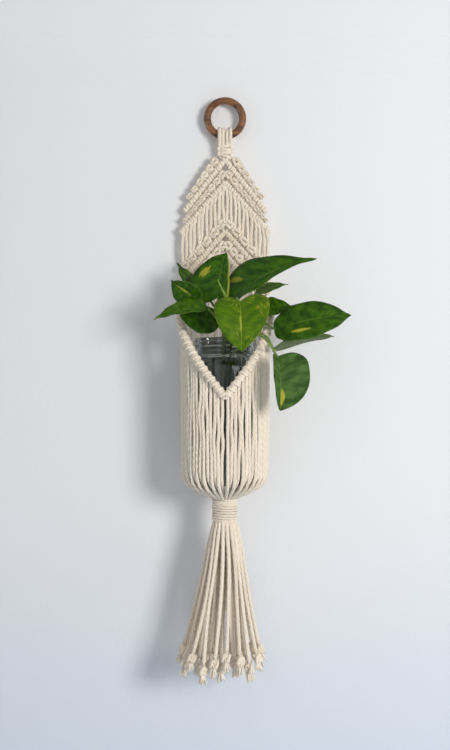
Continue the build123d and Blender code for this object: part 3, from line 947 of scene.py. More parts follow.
@dataclass
class Crown:
    """The wooden ring, the cords looped over it, and the knot under it."""

    layout: Layout
    cotton: bpy.types.Material
    wood: bpy.types.Material
    loops: int = 4
    loop_pitch: float = 0.0040
    loop_fullness: float = 1.08
    loop_sweep: tuple[float, float] = (-15, 195)
    loop_steps: int = 8
    # Heights of a loop's feet over the top of the knot.
    loop_ends: tuple[float, float] = (-0.003, 0.002)
    middle_gap: float = 0.0004
    foot_apart: float = 0.0021
    knot_inset: float = 0.0014
    core_pitch: float = 0.0045
    rng: random.Random = field(default_factory=lambda: random.Random(11))

    def build(self) -> None:
        """Build the ring, its loops and the knot."""
        dress(self.ring(), Body.RING, Slot.WOOD, "wood_ring")
        dress(self.mounting_loops(), Body.HANGER, Slot.COTTON, "mounting_cords")
        dress(self.knot(), Body.HANGER, Slot.COTTON, "top_knot")

    def ring(self) -> Piece:
        """The turned ring.

        Returns:
            The ring.
        """
        rounds, sides = 144, 36
        size = self.layout
        weave = Weave()
        for step in range(rounds):
            turn = TURN * step / rounds
            out = Vector((math.sin(turn), 0, math.cos(turn)))
            centre = Vector((0, 0, size.ring_centre_z)) + out * size.ring_mid_r
            for side in range(sides):
                angle = TURN * side / sides
                across = out * math.cos(angle) + FRONT * math.sin(angle)
                weave.points.append(centre + across * size.ring_stock_r)
                here = step * sides + side
                beside = step * sides + (side + 1) % sides
                after = (step + 1) % rounds * sides
                weave.faces.append((here, after + side, after + (side + 1) % sides, beside))
                weave.coords += [(0.0, 0.0)] * 4
        weave.tones = [0.5] * len(weave.points)
        return weave.piece("turned_ring", self.wood)

    def mounting_loops(self) -> Piece:
        """The cords looped over the ring.

        Returns:
            The loops.
        """
        size = self.layout
        knot_top = size.top_knot[1].z
        hole_r = size.ring_mid_r - size.ring_stock_r
        begin, end = self.loop_sweep
        weave = Weave()
        for number in range(self.loops):
            x = (number - (self.loops - 1) / 2) * self.loop_pitch
            x += math.copysign(self.middle_gap, x)
            inside = math.sqrt(hole_r**2 - (abs(x) + size.cord_r) ** 2)
            loop_r = size.ring_mid_r - inside + size.fit_gap + size.cord_r
            foot = self.foot_apart * self.rng.uniform(0.8, 1.1)
            route = [Vector((x, foot, knot_top + up)) for up in self.loop_ends]
            for step in range(self.loop_steps + 1):
                angle = math.radians(begin + (end - begin) * step / self.loop_steps)
                lift = Vector((0, math.cos(angle), math.sin(angle))) * loop_r
                route.append(Vector((x, 0, size.swing_z)) + lift)
            route += [Vector((x, -foot, knot_top + up)) for up in reversed(self.loop_ends)]
            weave.tube(smooth_line(route, 6), size.cord_r * self.loop_fullness, 12, self.rng.random(), RIGHT)
        return weave.piece("mounting_loops", self.cotton)

    def knot(self) -> Piece:
        """Two square knots, one under the other.

        Returns:
            The knots.
        """
        low, high = self.layout.top_knot
        quarter = (high.z - low.z) / 4
        middle = (low + high) / 2
        half_width = (high.x - low.x) / 2 - self.knot_inset
        knot = SquareKnot(half_width, quarter * 1.05, self.layout.cord_r * 0.98)
        weave = Weave()
        for shift in (quarter, -quarter):
            knot.tie(weave, knot_place(middle + UP * shift, UP), self.rng)
        for x in (-self.core_pitch, 0.0, self.core_pitch):
            core = [Vector((x, 0, high.z)), Vector((x * 1.1, 0, low.z - 0.001))]
            weave.tube(core, self.layout.cord_r * 0.95, 10, 0.8)
        return weave.piece("crown_knot", self.cotton)


@dataclass(frozen=True)
class KnotRow:
    """A row of square knots beside a chevron: their sizes, and where the row starts and ends."""

    node: str
    chevron: int
    above: bool
    count: int
    first_r: float
    last_r: float
    first: float
    last: float
    tapered: bool = False

    def radius(self, number: int) -> float:
        """A knot's radius.

        Args:
            number: Which knot, from the row's start.

        Returns:
            The radius.
        """
        share = number / (self.count - 1)
        if self.tapered:
            return self.first_r * (self.last_r / self.first_r) ** share
        return self.first_r + (self.last_r - self.first_r) * share

    def joint(self, number: int) -> float:
        """Where a knot begins: a tapered row's knots shorten as they thin.

        Args:
            number: Which knot, from the row's start.

        Returns:
            The length along the arm.
        """
        share = number / self.count
        if self.tapered:
            shrink = (self.last_r / self.first_r) ** (1 / (self.count - 1))
            share = (1 - shrink**number) / (1 - shrink**self.count)
        return self.first + (self.last - self.first) * share


@dataclass
class Panel:
    """The knotted panel: chevrons of hitches, rows of square knots, and bare cords."""

    layout: Layout
    cotton: bpy.types.Material
    wrap_r: float = 0.00200
    arm_steps: int = 40
    knot_lean: float = 0.25
    knot_spread: float = 0.66
    sway: float = 0.0007
    pinch: float = 0.0009
    hook: float = 0.0016
    edge_row: KnotRow = KnotRow("edge_knots", 0, True, 6, 0.0046, 0.0028, 0.0050, 0.0646)
    upper_row: KnotRow = KnotRow("upper_row_knots", 0, False, 10, 0.0044, 0.0023, 0.0115, 0.0887, True)
    net_row: KnotRow = KnotRow("net_knots", 2, True, 6, 0.0047, 0.0047, -0.0098, 0.0699)
    lower_row: KnotRow = KnotRow("lower_row_knots", 2, False, 8, 0.0050, 0.0050, 0.0101, 0.0898)
    rng: random.Random = field(default_factory=lambda: random.Random(23))

    def build(self) -> None:
        """Build the chevrons, the rows and the cords."""
        for side in Side:
            for number in range(len(self.layout.apexes)):
                self.chevron(number, side)
            for row in (self.edge_row, self.upper_row, self.net_row, self.lower_row):
                self.knots(row, side)
            self.cords(side)

    def chevron(self, number: int, side: Side) -> None:
        """One arm of a chevron.

        Args:
            number: Which chevron, from the top.
            side: The arm's side.
        """
        size = self.layout
        start = size.on_arm(side, number, -0.5 * size.bar_r)
        end = size.on_arm(side, number, size.arm_length(number))
        axis = [start.lerp(end, step / self.arm_steps) for step in range(self.arm_steps + 1)]
        weave = Weave()
        weave.tube(axis, size.core_r, 10, CORE_TONE)
        pitch = size.arm_pitch(number)
        turns = wound(axis, FRONT, size.bar_r - self.wrap_r, pitch, side.value, self.rng)
        weave.tube(turns, self.wrap_r, 9, self.rng.random())
        name = f"chevron_{number + 1}"
        piece = weave.piece(f"{name}_{side.word}", self.cotton)
        dress(piece, Body.HANGER, Slot.COTTON, f"{name}_core_{side.word}", f"{name}_hitches_{side.word}")

    def knots(self, row: KnotRow, side: Side) -> None:
        """One side of a row of knots.

        Args:
            row: The row.
            side: Its side.
        """
        size = self.layout
        fall = size.fall_of(row.chevron)
        upwards = Vector((side.value * math.sin(fall), 0, math.cos(fall))).lerp(UP, self.knot_lean)
        weave = Weave()
        for number in range(row.count):
            radius = row.radius(number)
            across = size.bar_r + size.knot_gap + radius
            begin, end = row.joint(number), row.joint(number + 1)
            reach = (begin + end) / 2
            middle = size.on_arm(side, row.chevron, reach, across if row.above else -across)
            cord_r = min(size.cord_r * 0.93, radius * 0.42)
            knot = SquareKnot((end - begin) / 2 * self.knot_spread, radius * 0.98, cord_r)
            knot.tie(weave, knot_place(middle, upwards), self.rng)
        piece = weave.piece(f"{row.node}_tied_{side.word}", self.cotton)
        dress(piece, Body.HANGER, Slot.COTTON, f"{row.node}_{side.word}")

    def cords(self, side: Side) -> None:
        """The bare cords, from the second chevron to the net knots.

        Args:
            side: Their side.
        """
        size = self.layout
        across = size.bar_r + size.knot_gap + self.net_row.first_r
        weave = Weave()
        for number in range(size.cords_per_side):
            x = side.value * (number + 0.5) * size.cord_pitch
            top = size.arm_z(size.apexes[1], x)
            low = size.arm_z(size.apexes[2], x, across)
            sway = [self.rng.uniform(-self.sway, self.sway) for _ in range(3)]
            pinch = side.value * (self.pinch if number % 2 else -self.pinch)
            hook = side.value * self.hook
            drop = top - low
            route = [
                Vector((x - hook, 0.0006, top + 0.001)),
                Vector((x - hook * 0.9, -0.0018, top - 0.004)),
                Vector((x + hook * 0.3 + sway[0], -0.0008, top - 0.22 * drop)),
                Vector((x + sway[1], -0.0004, top - 0.55 * drop)),
                Vector((x + pinch + sway[2], -0.0004, low + 0.004)),
                Vector((x + pinch * 1.6, 0.0002, low - 0.003)),
            ]
            radius = size.cord_r * self.rng.uniform(0.94, 1.02)
            weave.tube(smooth_line(route, 6), radius, 12, self.rng.random())
        piece = weave.piece(f"panel_cords_loose_{side.word}", self.cotton)
        dress(piece, Body.HANGER, Slot.COTTON, f"panel_cords_{side.word}")


@dataclass
class Pocket:
    """The pocket round the jar: neckline, front and back cords, and the wrap that gathers them."""

    layout: Layout
    cotton: bpy.types.Material
    hitch_r: float = 0.0029
    hitch_cord_r: float = 0.0021
    hitch_bulge: float = 0.26
    neckline_out: float = 0.0010
    stray: float = 0.0021
    heel_stray: float = 0.0009
    slack: float = 0.0009
    sweep: float = math.pi / 2
    steps: int = 6
    cords_per_side: int = 16
    # Distance out from the other cords, and drop under the neckline.
    hang: Profile = ((0.0012, 0.0), (0.0004, 0.006))
    hang_drop: float = 0.008
    back_per_side: int = 7
    back_first: float = math.radians(97)
    back_last: float = math.radians(174)
    back_straight: float = 0.02
    back_drop: float = 0.025
    back_meet: float = 0.045
    back_lead: float = 0.004
    slope: float = math.radians(28)
    gather_r: float = 0.0249
    # Radius, height over the wrap's top, and what that height gains for a cord of the under layer.
    gathered: tuple[Place, ...] = (
        (0.0150, 0.0022, -0.0012),
        (0.0092, -0.0015, -0.001),
        (0.0080, -0.008, 0.0),
    )
    squeezed: float = 0.72
    # Heights over the wrap's top between which a cord is squeezed.
    squeeze_span: tuple[float, float] = (-0.002, 0.010)
    wrap_cord_r: float = 0.0012
    wrap_turns: int = 8
    wrap_fullness: float = 0.57
    wrap_flat: float = 0.80
    wrap_stray: float = 0.00025
    wrap_end: float = 0.002
    bundle_r: float = 0.0121
    bundle_cords: int = 15
    bundle_ring_r: float = 0.0085
    bundle_over: float = 0.001
    rng: random.Random = field(default_factory=lambda: random.Random(37))

    @property
    def cord_ring_r(self) -> float:
        """Distance of the pocket's cords from the jar's axis."""
        return self.layout.jar_r + self.layout.fit_gap + self.layout.cord_r

    def build(self) -> None:
        """Build the neckline, the cords and the wrap."""
        for side in Side:
            line = self.neckline(side)
            self.front_cords(side, line)
        self.back_cords()
        self.wrap()

    def neckline(self, side: Side) -> list[Vector]:
        """The hitched cord from an end of the panel down to the pocket's front.

        Args:
            side: Its side.

        Returns:
            The core cord's line, from the front.
        """
        size = self.layout
        low_z = size.panel_end_z - size.neckline_drop
        middle_r = size.jar_r + size.fit_gap + size.bar_r + self.neckline_out
        corner_r = middle_r / math.cos(self.sweep / self.steps / 2)
        route = []
        for step in range(self.steps + 1):
            share = step / self.steps
            angle = side.value * self.sweep * share
            route.append(size.around_jar(corner_r, angle, low_z + size.neckline_rise * share))
        end_y = -(size.bar_r + 3 * size.fit_gap)
        route.append(Vector((side.value * (size.panel_half - size.cord_r), end_y, size.panel_end_z)))
        line = smooth_line(route, 14)
        weave = Weave()
        weave.tube(line, size.core_r, 10, CORE_TONE)
        pitch = size.arm_pitch(3)
        turns = wound(line, FRONT, self.hitch_r, pitch, side.value, self.rng, self.hitch_bulge)
        weave.tube(turns, self.hitch_cord_r, 10, 0.2)
        piece = weave.piece(f"neckline_{side.word}", self.cotton)
        dress(piece, Body.HANGER, Slot.COTTON, f"neckline_core_{side.word}", f"neckline_hitches_{side.word}")
        return line

    def fall_to_wrap(self, angle: float, layer: int, start_z: float) -> list[Vector]:
        """A cord's route down beside the jar, round its heel and in under the wrap.

        Args:
            angle: Its place round the jar.
            layer: 0 for a cord that lies against the jar's heel, 1 for one under it.
            start_z: Where it starts beside the jar.

        Returns:
            The route's points.
        """
        size = self.layout
        turn_r = size.jar_heel + size.fit_gap + size.cord_r
        heel_r = size.jar_r - size.jar_heel + turn_r * math.sin(self.slope)
        heel_z = size.jar_base_z + size.jar_heel - turn_r * math.cos(self.slope)
        drop = layer * (2 * size.cord_r + size.fit_gap) / math.cos(self.slope)
        corner_z = heel_z + (self.cord_ring_r - heel_r) * math.tan(self.slope) - drop
        tangent = turn_r * math.tan((math.pi / 2 - self.slope) / 2)
        entry_z = heel_z - (heel_r - self.gather_r) * math.tan(self.slope) - drop
        straight = start_z - (corner_z + 2 * tangent)
        drift = wobble(self.rng, 2)
        route = []
        for share in (0.25, 0.5, 0.75):
            sideways = self.stray * drift(share) / self.cord_ring_r
            out = self.cord_ring_r + self.slack * abs(drift(share + 0.5))
            route.append(size.around_jar(out, angle + sideways, start_z - share * straight))
        sideways = self.heel_stray * drift(1.0) / self.cord_ring_r
        route += [
            size.around_jar(self.cord_ring_r, angle + sideways, corner_z + 2 * tangent),
            size.around_jar(self.cord_ring_r, angle + sideways, corner_z),
            size.around_jar(self.gather_r, angle, entry_z),
        ]
        for radius, up, sink in self.gathered:
            route.append(size.around_jar(radius, angle, size.wrap_top_z + up + sink * layer))
        return route

    def cord_radii(self, line: Sequence[Vector]) -> list[float]:
        """A pocket cord's radius along it, squeezed where the cords are gathered.

        Args:
            line: The cord's line.

        Returns:
            A radius for each point.
        """
        full = self.layout.cord_r * self.rng.uniform(0.95, 1.04)
        low, high = (self.layout.wrap_top_z + up for up in self.squeeze_span)
        shares = (min(1.0, max(0.0, (point.z - low) / (high - low))) for point in line)
        return [full * (self.squeezed + (1 - self.squeezed) * share) for share in shares]

    def front_cords(self, side: Side, neckline: Sequence[Vector]) -> None:
        """The cords that hang from one side of the neckline.

        Args:
            side: The side.
            neckline: The line that they hang from.
        """
        size = self.layout
        reaches = reaches_along(neckline)
        weave = Weave()
        for number in range(self.cords_per_side):
            reach = (number + 0.5) * size.arm_pitch(3)
            index = next(i for i, value in enumerate(reaches) if value >= reach)
            hold = neckline[index]
            angle = math.atan2(hold.x, size.jar_axis_y - hold.y)
            layer = (number + (side is Side.RIGHT)) % 2
            route = [size.around_jar(self.cord_ring_r + out, angle, hold.z - drop) for out, drop in self.hang]
            line = smooth_line(route + self.fall_to_wrap(angle, layer, hold.z - self.hang_drop), 7)
            weave.tube(line, self.cord_radii(line), 12, self.rng.random())
        piece = weave.piece(f"pocket_cords_hung_{side.word}", self.cotton)
        dress(piece, Body.HANGER, Slot.COTTON, f"pocket_cords_{side.word}")

    def back_cords(self) -> None:
        """The cords behind the jar, from the lowest chevron."""
        size = self.layout
        weave = Weave()
        for side in Side:
            for number in range(self.back_per_side):
                share = number / (self.back_per_side - 1)
                angle = side.value * (self.back_last + (self.back_first - self.back_last) * share)
                x = side.value * (number + 0.5) * (size.panel_half - size.cord_r) / self.back_per_side
                hold_z = size.arm_z(size.apexes[3], x)
                meet_z = size.jar_rim_z - self.back_meet
                route = [
                    Vector((x, 0, hold_z)),
                    Vector((x, 0, hold_z - self.back_straight)),
                    Vector((x, 0, size.panel_end_z - self.back_drop)),
                    size.around_jar(self.cord_ring_r, angle, meet_z),
                ]
                line = smooth_line(route + self.fall_to_wrap(angle, 0, meet_z - self.back_lead), 7)
                weave.tube(line, self.cord_radii(line), 12, self.rng.random())
        piece = weave.piece("back_cords_hung", self.cotton)
        dress(piece, Body.HANGER, Slot.COTTON, "back_cords")

    def wrap(self) -> None:
        """The cord wound round the gathered cords, and the cords inside it."""
        size = self.layout
        top = size.wrap_top_z - self.wrap_cord_r
        pitch = (size.wrap_top_z - size.wrap_low_z - 2 * self.wrap_cord_r) / self.wrap_turns
        points_per_turn = 40
        loose = wobble(self.rng, 5)
        line = []
        for step in range(points_per_turn * self.wrap_turns + 1):
            turns = step / points_per_turn
            radius = self.bundle_r + self.wrap_cord_r + self.wrap_stray * loose(turns / 3)
            line.append(size.around_jar(radius, TURN * turns, top - pitch * turns))
        end_r = self.bundle_r - self.wrap_end
        inward = [size.around_jar(end_r, -0.5, top + 0.0004)]
        outward = [size.around_jar(end_r, 0.5, size.wrap_low_z + self.wrap_cord_r)]
        weave = Weave()
        weave.tube(inward + line + outward, pitch * self.wrap_fullness, 12, 0.2, FRONT, self.wrap_flat)
        ends = (size.wrap_top_z + self.bundle_over, size.wrap_low_z - self.bundle_over)
        for number in range(self.bundle_cords):
            angle = TURN * number / self.bundle_cords
            weave.tube([size.around_jar(self.bundle_ring_r, angle, z) for z in ends], size.cord_r, 8, 0.7)
        piece = weave.piece("gathering_wrap_wound", self.cotton)
        dress(piece, Body.HANGER, Slot.COTTON, "gathering_wrap", "gathered_bundle")


@dataclass
class Tassel:
    """The tassel: limp cords that hang from the wrap, each with a knot and a frayed end."""

    layout: Layout
    cotton: bpy.types.Material
    fluff: bpy.types.Material
    cord_pitch: float = 0.0043
    fullness: float = 1.09
    stray: float = 0.0040
    lean: float = -0.004
    wrapped_r: float = 0.0106
    flare: float = 0.0017
    tuck: float = 0.003
    # Heights over the pivot between which a cord bends.
    bend_span: tuple[float, float] = (0.002, -0.03)
    knot_r: float = 0.0058
    knot_height: float = 0.0112
    knot_steps: int = 42
    tail_length: float = 0.012
    tail_sunk: float = 0.003
    tail_spread: tuple[float, float] = (0.0004, 0.0046)
    tail_curl: float = 0.0018
    fibres: int = 30
    fibre_radii: tuple[float, ...] = (0.0008, 0.0007, 0.0006, 0.0003)
    # Node, count of cords, and radius of the ring that their knots hang in.
    rings: tuple[tuple[str, int, float], ...] = (
        ("inner", 1, 0.004),
        ("inner", 7, 0.016),
        ("middle", 13, 0.029),
        ("outer", 19, 0.042),
    )
    # Share of the way out to the knots, and depth under the tassel's top.
    route: tuple[tuple[float, float], ...] = ((0.0, 0.0), (0.28, 0.040), (0.60, 0.090), (1.0, 0.136))
    # What a knot's depth gains, cord by cord.
    stagger: tuple[float, ...] = (0.0, -0.007, 0.005, -0.003, 0.008)
    rng: random.Random = field(default_factory=lambda: random.Random(53))

    def build(self) -> None:
        """Build the cords, their knots and their frayed ends."""
        serial = 0
        for ring, (name, count, knot_ring_r) in enumerate(self.rings):
            for number in range(count):
                serial += 1
                controls = self.controls(ring, number, count, knot_ring_r)
                self.strand(serial, name, controls)

    def controls(self, ring: int, number: int, count: int, knot_ring_r: float) -> list[Vector]:
        """The points of one cord's route, from the wrap to its knot.

        Args:
            ring: Which ring of cords.
            number: Which cord in it.
            count: How many cords the ring has.
            knot_ring_r: The ring's radius at the knots.

        Returns:
            The points.
        """
        size = self.layout
        head_r = self.cord_pitch / (2 * math.sin(math.pi / count)) if count > 1 else 0.0
        angle = TURN * (number + ring / 2) / count
        low = self.stagger[(number + ring) % len(self.stagger)]
        squeezed = min(head_r, self.wrapped_r)
        points = [size.around_jar(squeezed, angle, size.wrap_low_z + self.tuck)]
        for share, depth in self.route:
            out = head_r + share * (knot_ring_r - head_r) + (1 - share) * self.flare * (count > 1)
            z = size.tassel_top_z - size.fit_gap - depth - share * low
            stray = self.stray * math.sin(math.pi * min(share, 0.9)) * (count > 1)
            turn = angle + self.rng.uniform(-1, 1) * stray / max(out, 0.004)
            points.append(size.around_jar(out, turn, z) + RIGHT * (share * self.lean))
        return points

    def strand(self, serial: int, ring: str, controls: Sequence[Vector]) -> None:
        """One cord with its knot and frayed end.

        Args:
            serial: The cord's number.
            ring: The ring that it belongs to.
            controls: Its route.
        """
        size = self.layout
        line = smooth_line(controls, 9)
        weave = Weave()
        swell = wobble(self.rng, 2)
        full = size.cord_r * self.fullness
        radii = [full * (1 + 0.03 * swell(3 * i / len(line))) for i in range(len(line))]
        weave.tube(line, radii, 12, self.rng.random())
        cord = weave.piece(f"tassel_cord_{serial:02d}", self.cotton)
        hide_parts(f"tassel_cords_{ring}", "tassel_head")
        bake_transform(cord)
        log.info("%s bends from %s to %s", cord.name, Body.HANGER.value, Body.TASSEL.value)
        heading = (line[-1] - line[-2]).normalized()
        knot = self.knot(serial, line[-1], heading)
        dress(knot, Body.TASSEL, Slot.COTTON, "tassel_end_knots")
        tuft = self.tuft(serial, line[-1] + heading * (self.knot_height - self.tail_sunk), heading)
        dress(tuft, Body.TASSEL, Slot.COTTON, "tassel_frayed_tails")

    def knot(self, serial: int, top: Vector, heading: Vector) -> Piece:
        """An overhand knot near a cord's end.

        Args:
            serial: The cord's number.
            top: Where the cord goes into the knot.
            heading: The way the cord runs there.

        Returns:
            The knot.
        """
        rng = self.rng
        first = heading.orthogonal().normalized()
        second = heading.cross(first)
        middle = top + heading * (self.knot_height / 2)
        start = rng.uniform(0, TURN)
        tube_r = self.layout.cord_r
        spread = (self.knot_r - tube_r) / 3
        rise = self.knot_height / 2 - tube_r
        loop = []
        for step in range(self.knot_steps + 1):
            t = TURN * step / self.knot_steps
            x = math.sin(t) + 2 * math.sin(2 * t)
            y = math.cos(t) - 2 * math.cos(2 * t)
            across = first * (x * math.cos(start) - y * math.sin(start))
            across += second * (x * math.sin(start) + y * math.cos(start))
            loop.append(middle + across * spread - heading * (rise * math.sin(3 * t)))
        weave = Weave()
        tone = rng.random()
        weave.tube(loop, tube_r, 9, tone, heading)
        core = [top - heading * 0.001, middle, top + heading * self.knot_height]
        weave.tube(core, self.layout.cord_r * 0.95, 9, tone, first)
        return weave.piece(f"tassel_knot_{serial:02d}", self.cotton)

    def tuft(self, serial: int, root: Vector, heading: Vector) -> Piece:
        """The loose fibres of a cord's end.

        Args:
            serial: The cord's number.
            root: Where they leave the knot.
            heading: The cord's way.

        Returns:
            The tuft.
        """
        rng = self.rng
        first = heading.orthogonal().normalized()
        second = heading.cross(first)
        weave = Weave()
        for _ in range(self.fibres):
            angle = rng.uniform(0, TURN)
            out = first * math.cos(angle) + second * math.sin(angle)
            sideways = out.cross(heading) * rng.uniform(-1, 1)
            spread = rng.uniform(*self.tail_spread)
            length = self.tail_length * rng.uniform(0.65, 1.12)
            curl = rng.uniform(-self.tail_curl, self.tail_curl)
            fibre = [
                root + out * (0.35 * spread),
                root + out * (0.7 * spread) + heading * (0.4 * length),
                root + out * spread + heading * (0.75 * length) + sideways * curl,
                root + out * (1.1 * spread) + heading * length + sideways * (2 * curl),
            ]
            weave.tube(fibre, self.fibre_radii, 5, rng.random())
        return weave.piece(f"tassel_tuft_{serial:02d}", self.fluff)


def smooth_wall(angle: float, z: float) -> float:
    """What a turned form without relief adds to its radius: nothing."""
    return 0.0


def lathe(
    profile: Profile,
    rounds: int,
    axis_y: float,
    relief: Callable[[float, float], float] = smooth_wall,
) -> Weave:
    """Turn a profile about the jar's axis.

    Args:
        profile: Radius and height of each ring, from end to end.
        rounds: How many sides the turned form has.
        axis_y: Where the axis is.
        relief: What is added to the radius at an angle and a height.

    Returns:
        The turned form, closed at both ends.
    """
    weave = Weave()
    for radius, z in profile:
        for side in range(rounds):
            angle = TURN * side / rounds
            out = radius + relief(angle, z)
            weave.points.append(Vector((out * math.sin(angle), axis_y - out * math.cos(angle), z)))
    for ring in range(len(profile) - 1):
        for side in range(rounds):
            other = (side + 1) % rounds
            low, high = ring * rounds, (ring + 1) * rounds
            weave.faces.append((low + side, low + other, high + other, high + side))
            weave.coords += [(0.0, 0.0)] * 4
    last = (len(profile) - 1) * rounds
    weave.faces.append(tuple(reversed(range(rounds))))
    weave.faces.append(tuple(range(last, last + rounds)))
    weave.coords += [(0.0, 0.0)] * (2 * rounds)
    weave.tones = [0.5] * len(weave.points)
    return weave


def arc(centre: tuple[float, float], radius: float, begin: float, end: float, steps: int) -> Profile:
    """Points on an arc of a profile.

    Args:
        centre: The arc's centre, as radius and height.
        radius: The arc's own radius.
        begin: Where it begins, in degrees from outwards.
        end: Where it ends.
        steps: How many steps it has.

    Returns:
        The points.
    """
    angles = (math.radians(begin + (end - begin) * step / steps) for step in range(steps + 1))
    return [(centre[0] + radius * math.cos(a), centre[1] + radius * math.sin(a)) for a in angles]


@dataclass
class Jar:
    """The glass jar, with a threaded neck, and the water in it."""

    layout: Layout
    glass: bpy.types.Material
    water: bpy.types.Material
    wall: float = 0.0032
    floor: float = 0.005
    # Height of the underside's middle, and of its edge.
    push_up: tuple[float, float] = (0.0022, 0.0018)
    push_up_inset: float = 0.004
    axis_r: float = 0.0006
    mouth_r: float = 0.0303
    finish_height: float = 0.022
    lip: float = 0.0012
    thread_depth: float = 0.0014
    thread_half: float = 0.0016
    thread_pitch: float = 0.006
    thread_lead: float = 0.0045
    thread_span: tuple[float, float] = (0.0078, 0.0188)
    collar_up: float = 0.0036
    collar_depth: float = 0.0018
    water_gap: float = 0.00012
    # Distance in from the glass, and depth under the edge.
    meniscus: Profile = ((0.0, 0.0), (0.0008, 0.0006), (0.0025, 0.0011))
    water_dip: float = 0.0012
    rounds: int = 112
    neck_rows: int = 46
    throat_rows: tuple[float, ...] = (0.006, 0.014)
    bend_margin: float = 0.03

    def build(self) -> None:
        """Build the jar and the water."""
        dress(self.vessel(), Body.JAR, Slot.GLASS, "glass_jar")
        dress(self.contents(), Body.JAR, Slot.WATER, "water")

    def thread(self, angle: float, z: float) -> float:
        """How far the collar and the thread stand out of the neck.

        Args:
            angle: Turn round the neck.
            z: Height.

        Returns:
            The distance.
        """
        up = z - (self.layout.jar_rim_z - self.finish_height)
        collar = self.collar_depth * max(0.0, 1 - ((up - self.collar_up) / self.collar_depth) ** 2) ** 0.5
        turns = (up - self.collar_up - self.thread_lead) / self.thread_pitch - angle / TURN
        share = abs(turns - round(turns)) * self.thread_pitch / self.thread_half
        begin, end = self.thread_span
        thread = self.thread_depth * max(0.0, 1 - share**2) if begin < up < end else 0.0
        return max(collar, thread)

    def vessel(self) -> Piece:
        """The glass.

        Returns:
            The glass.
        """
        size = self.layout
        base, rim, neck_r = size.jar_base_z, size.jar_rim_z, self.mouth_r + self.wall
        shoulder = size.jar_r - neck_r
        shoulder_z = rim - self.finish_height - shoulder
        middle, edge = self.push_up
        heel_r = size.jar_r - size.jar_heel
        outer = [(self.axis_r, base + middle), (heel_r - self.push_up_inset, base + edge)]
        outer += arc((heel_r, base + size.jar_heel), size.jar_heel, -90, 0, 14)
        straight = shoulder_z - base - size.jar_heel
        outer += [(size.jar_r, base + size.jar_heel + straight * n / 12) for n in range(1, 12)]
        outer += arc((neck_r, shoulder_z), shoulder, 0, 90, 12)
        neck_low, neck = rim - self.finish_height, self.finish_height - self.lip
        outer += [(neck_r, neck_low + neck * n / self.neck_rows) for n in range(1, self.neck_rows)]
        lip = arc((neck_r - self.lip, rim - self.lip), self.lip, 0, 90, 5)
        lip += arc((self.mouth_r + self.lip, rim - self.lip), self.lip, 90, 180, 5)
        inner_r, heel = size.jar_r - self.wall, size.jar_heel - self.wall
        inner = [(self.mouth_r, rim - drop) for drop in self.throat_rows] + [(self.mouth_r, neck_low)]
        inner += arc((self.mouth_r, shoulder_z), inner_r - self.mouth_r, 90, 0, 12)[1:]
        heel_z = base + self.floor + heel
        inner += [(inner_r, shoulder_z - self.bend_margin), (inner_r, heel_z + self.bend_margin)]
        inner += arc((inner_r - heel, heel_z), heel, 0, -90, 12)
        inner += [(self.axis_r, base + self.floor)]
        weave = lathe(outer, self.rounds, size.jar_axis_y, self.thread)
        inside = lathe(lip + inner, self.rounds, size.jar_axis_y)
        shift = len(weave.points)
        weave.points += inside.points
        weave.tones += inside.tones
        del weave.faces[-1], inside.faces[-2]
        weave.faces += [tuple(index + shift for index in face) for face in inside.faces]
        rim_ring = (len(outer) - 1) * self.rounds
        for side in range(self.rounds):
            other = (side + 1) % self.rounds
            weave.faces.append((rim_ring + side, rim_ring + other, shift + other, shift + side))
        weave.coords = [(0.0, 0.0)] * sum(len(face) for face in weave.faces)
        return weave.piece("preserving_jar", self.glass)

    def contents(self) -> Piece:
        """The water, with a raised edge where it meets the glass.

        Returns:
            The water.
        """
        size = self.layout
        inner_r, heel = size.jar_r - self.wall - self.water_gap, size.jar_heel - self.wall
        floor = size.jar_base_z + self.floor + self.water_gap
        profile = [(self.axis_r, floor)]
        profile += arc((inner_r - heel, floor + heel), heel, -90, 0, 12)
        profile += [(inner_r, floor + heel + self.bend_margin)]
        profile += [(inner_r - inwards, size.water_z - dip) for inwards, dip in self.meniscus]
        profile += [(self.axis_r, size.water_z - self.water_dip)]
        return lathe(profile, self.rounds, size.jar_axis_y).piece("jar_water", self.water)


class Blade(Enum):
    """Outlines of a leaf: along its length, and across against its width."""

    HEART = (
        (-0.10, 0.10), (-0.16, 0.32), (-0.05, 0.56), (0.20, 0.57), (0.51, 0.48), (0.80, 0.27), (0.95, 0.08),
    )
    DRIP = (
        (-0.10, 0.06), (-0.16, 0.14), (-0.10, 0.32), (0.02, 0.50), (0.18, 0.59), (0.38, 0.53), (0.61, 0.35),
        (0.82, 0.14), (0.94, 0.04),
    )
    OVAL = (
        (-0.02, 0.12), (0.05, 0.36), (0.22, 0.53), (0.48, 0.56), (0.72, 0.42), (0.90, 0.18), (0.97, 0.05),
    )
    ROUND = (
        (-0.06, 0.16), (-0.07, 0.40), (0.06, 0.55), (0.32, 0.58), (0.60, 0.55), (0.84, 0.38), (0.97, 0.14),
    )
    SPEAR = (
        (-0.02, 0.12), (0.02, 0.34), (0.14, 0.52), (0.36, 0.56), (0.62, 0.36), (0.84, 0.14), (0.95, 0.04),
    )


@dataclass(frozen=True)
class LeafPlan:
    """Where a leaf grows, from the centre of the jar's rim in metres, and its blade's shape."""

    name: str
    stem: str
    joint_height: float
    elbow: Place
    base: Place
    tip: Place
    facing: Place
    width: float
    arch: float
    finish: LeafFinish
    shape: Blade = Blade.SPEAR
    fold: float = 0.22
    droop: float = 0.0
    wave: float = 0.0010
    lopsided: float = 0.0
    skew: float = 0.0


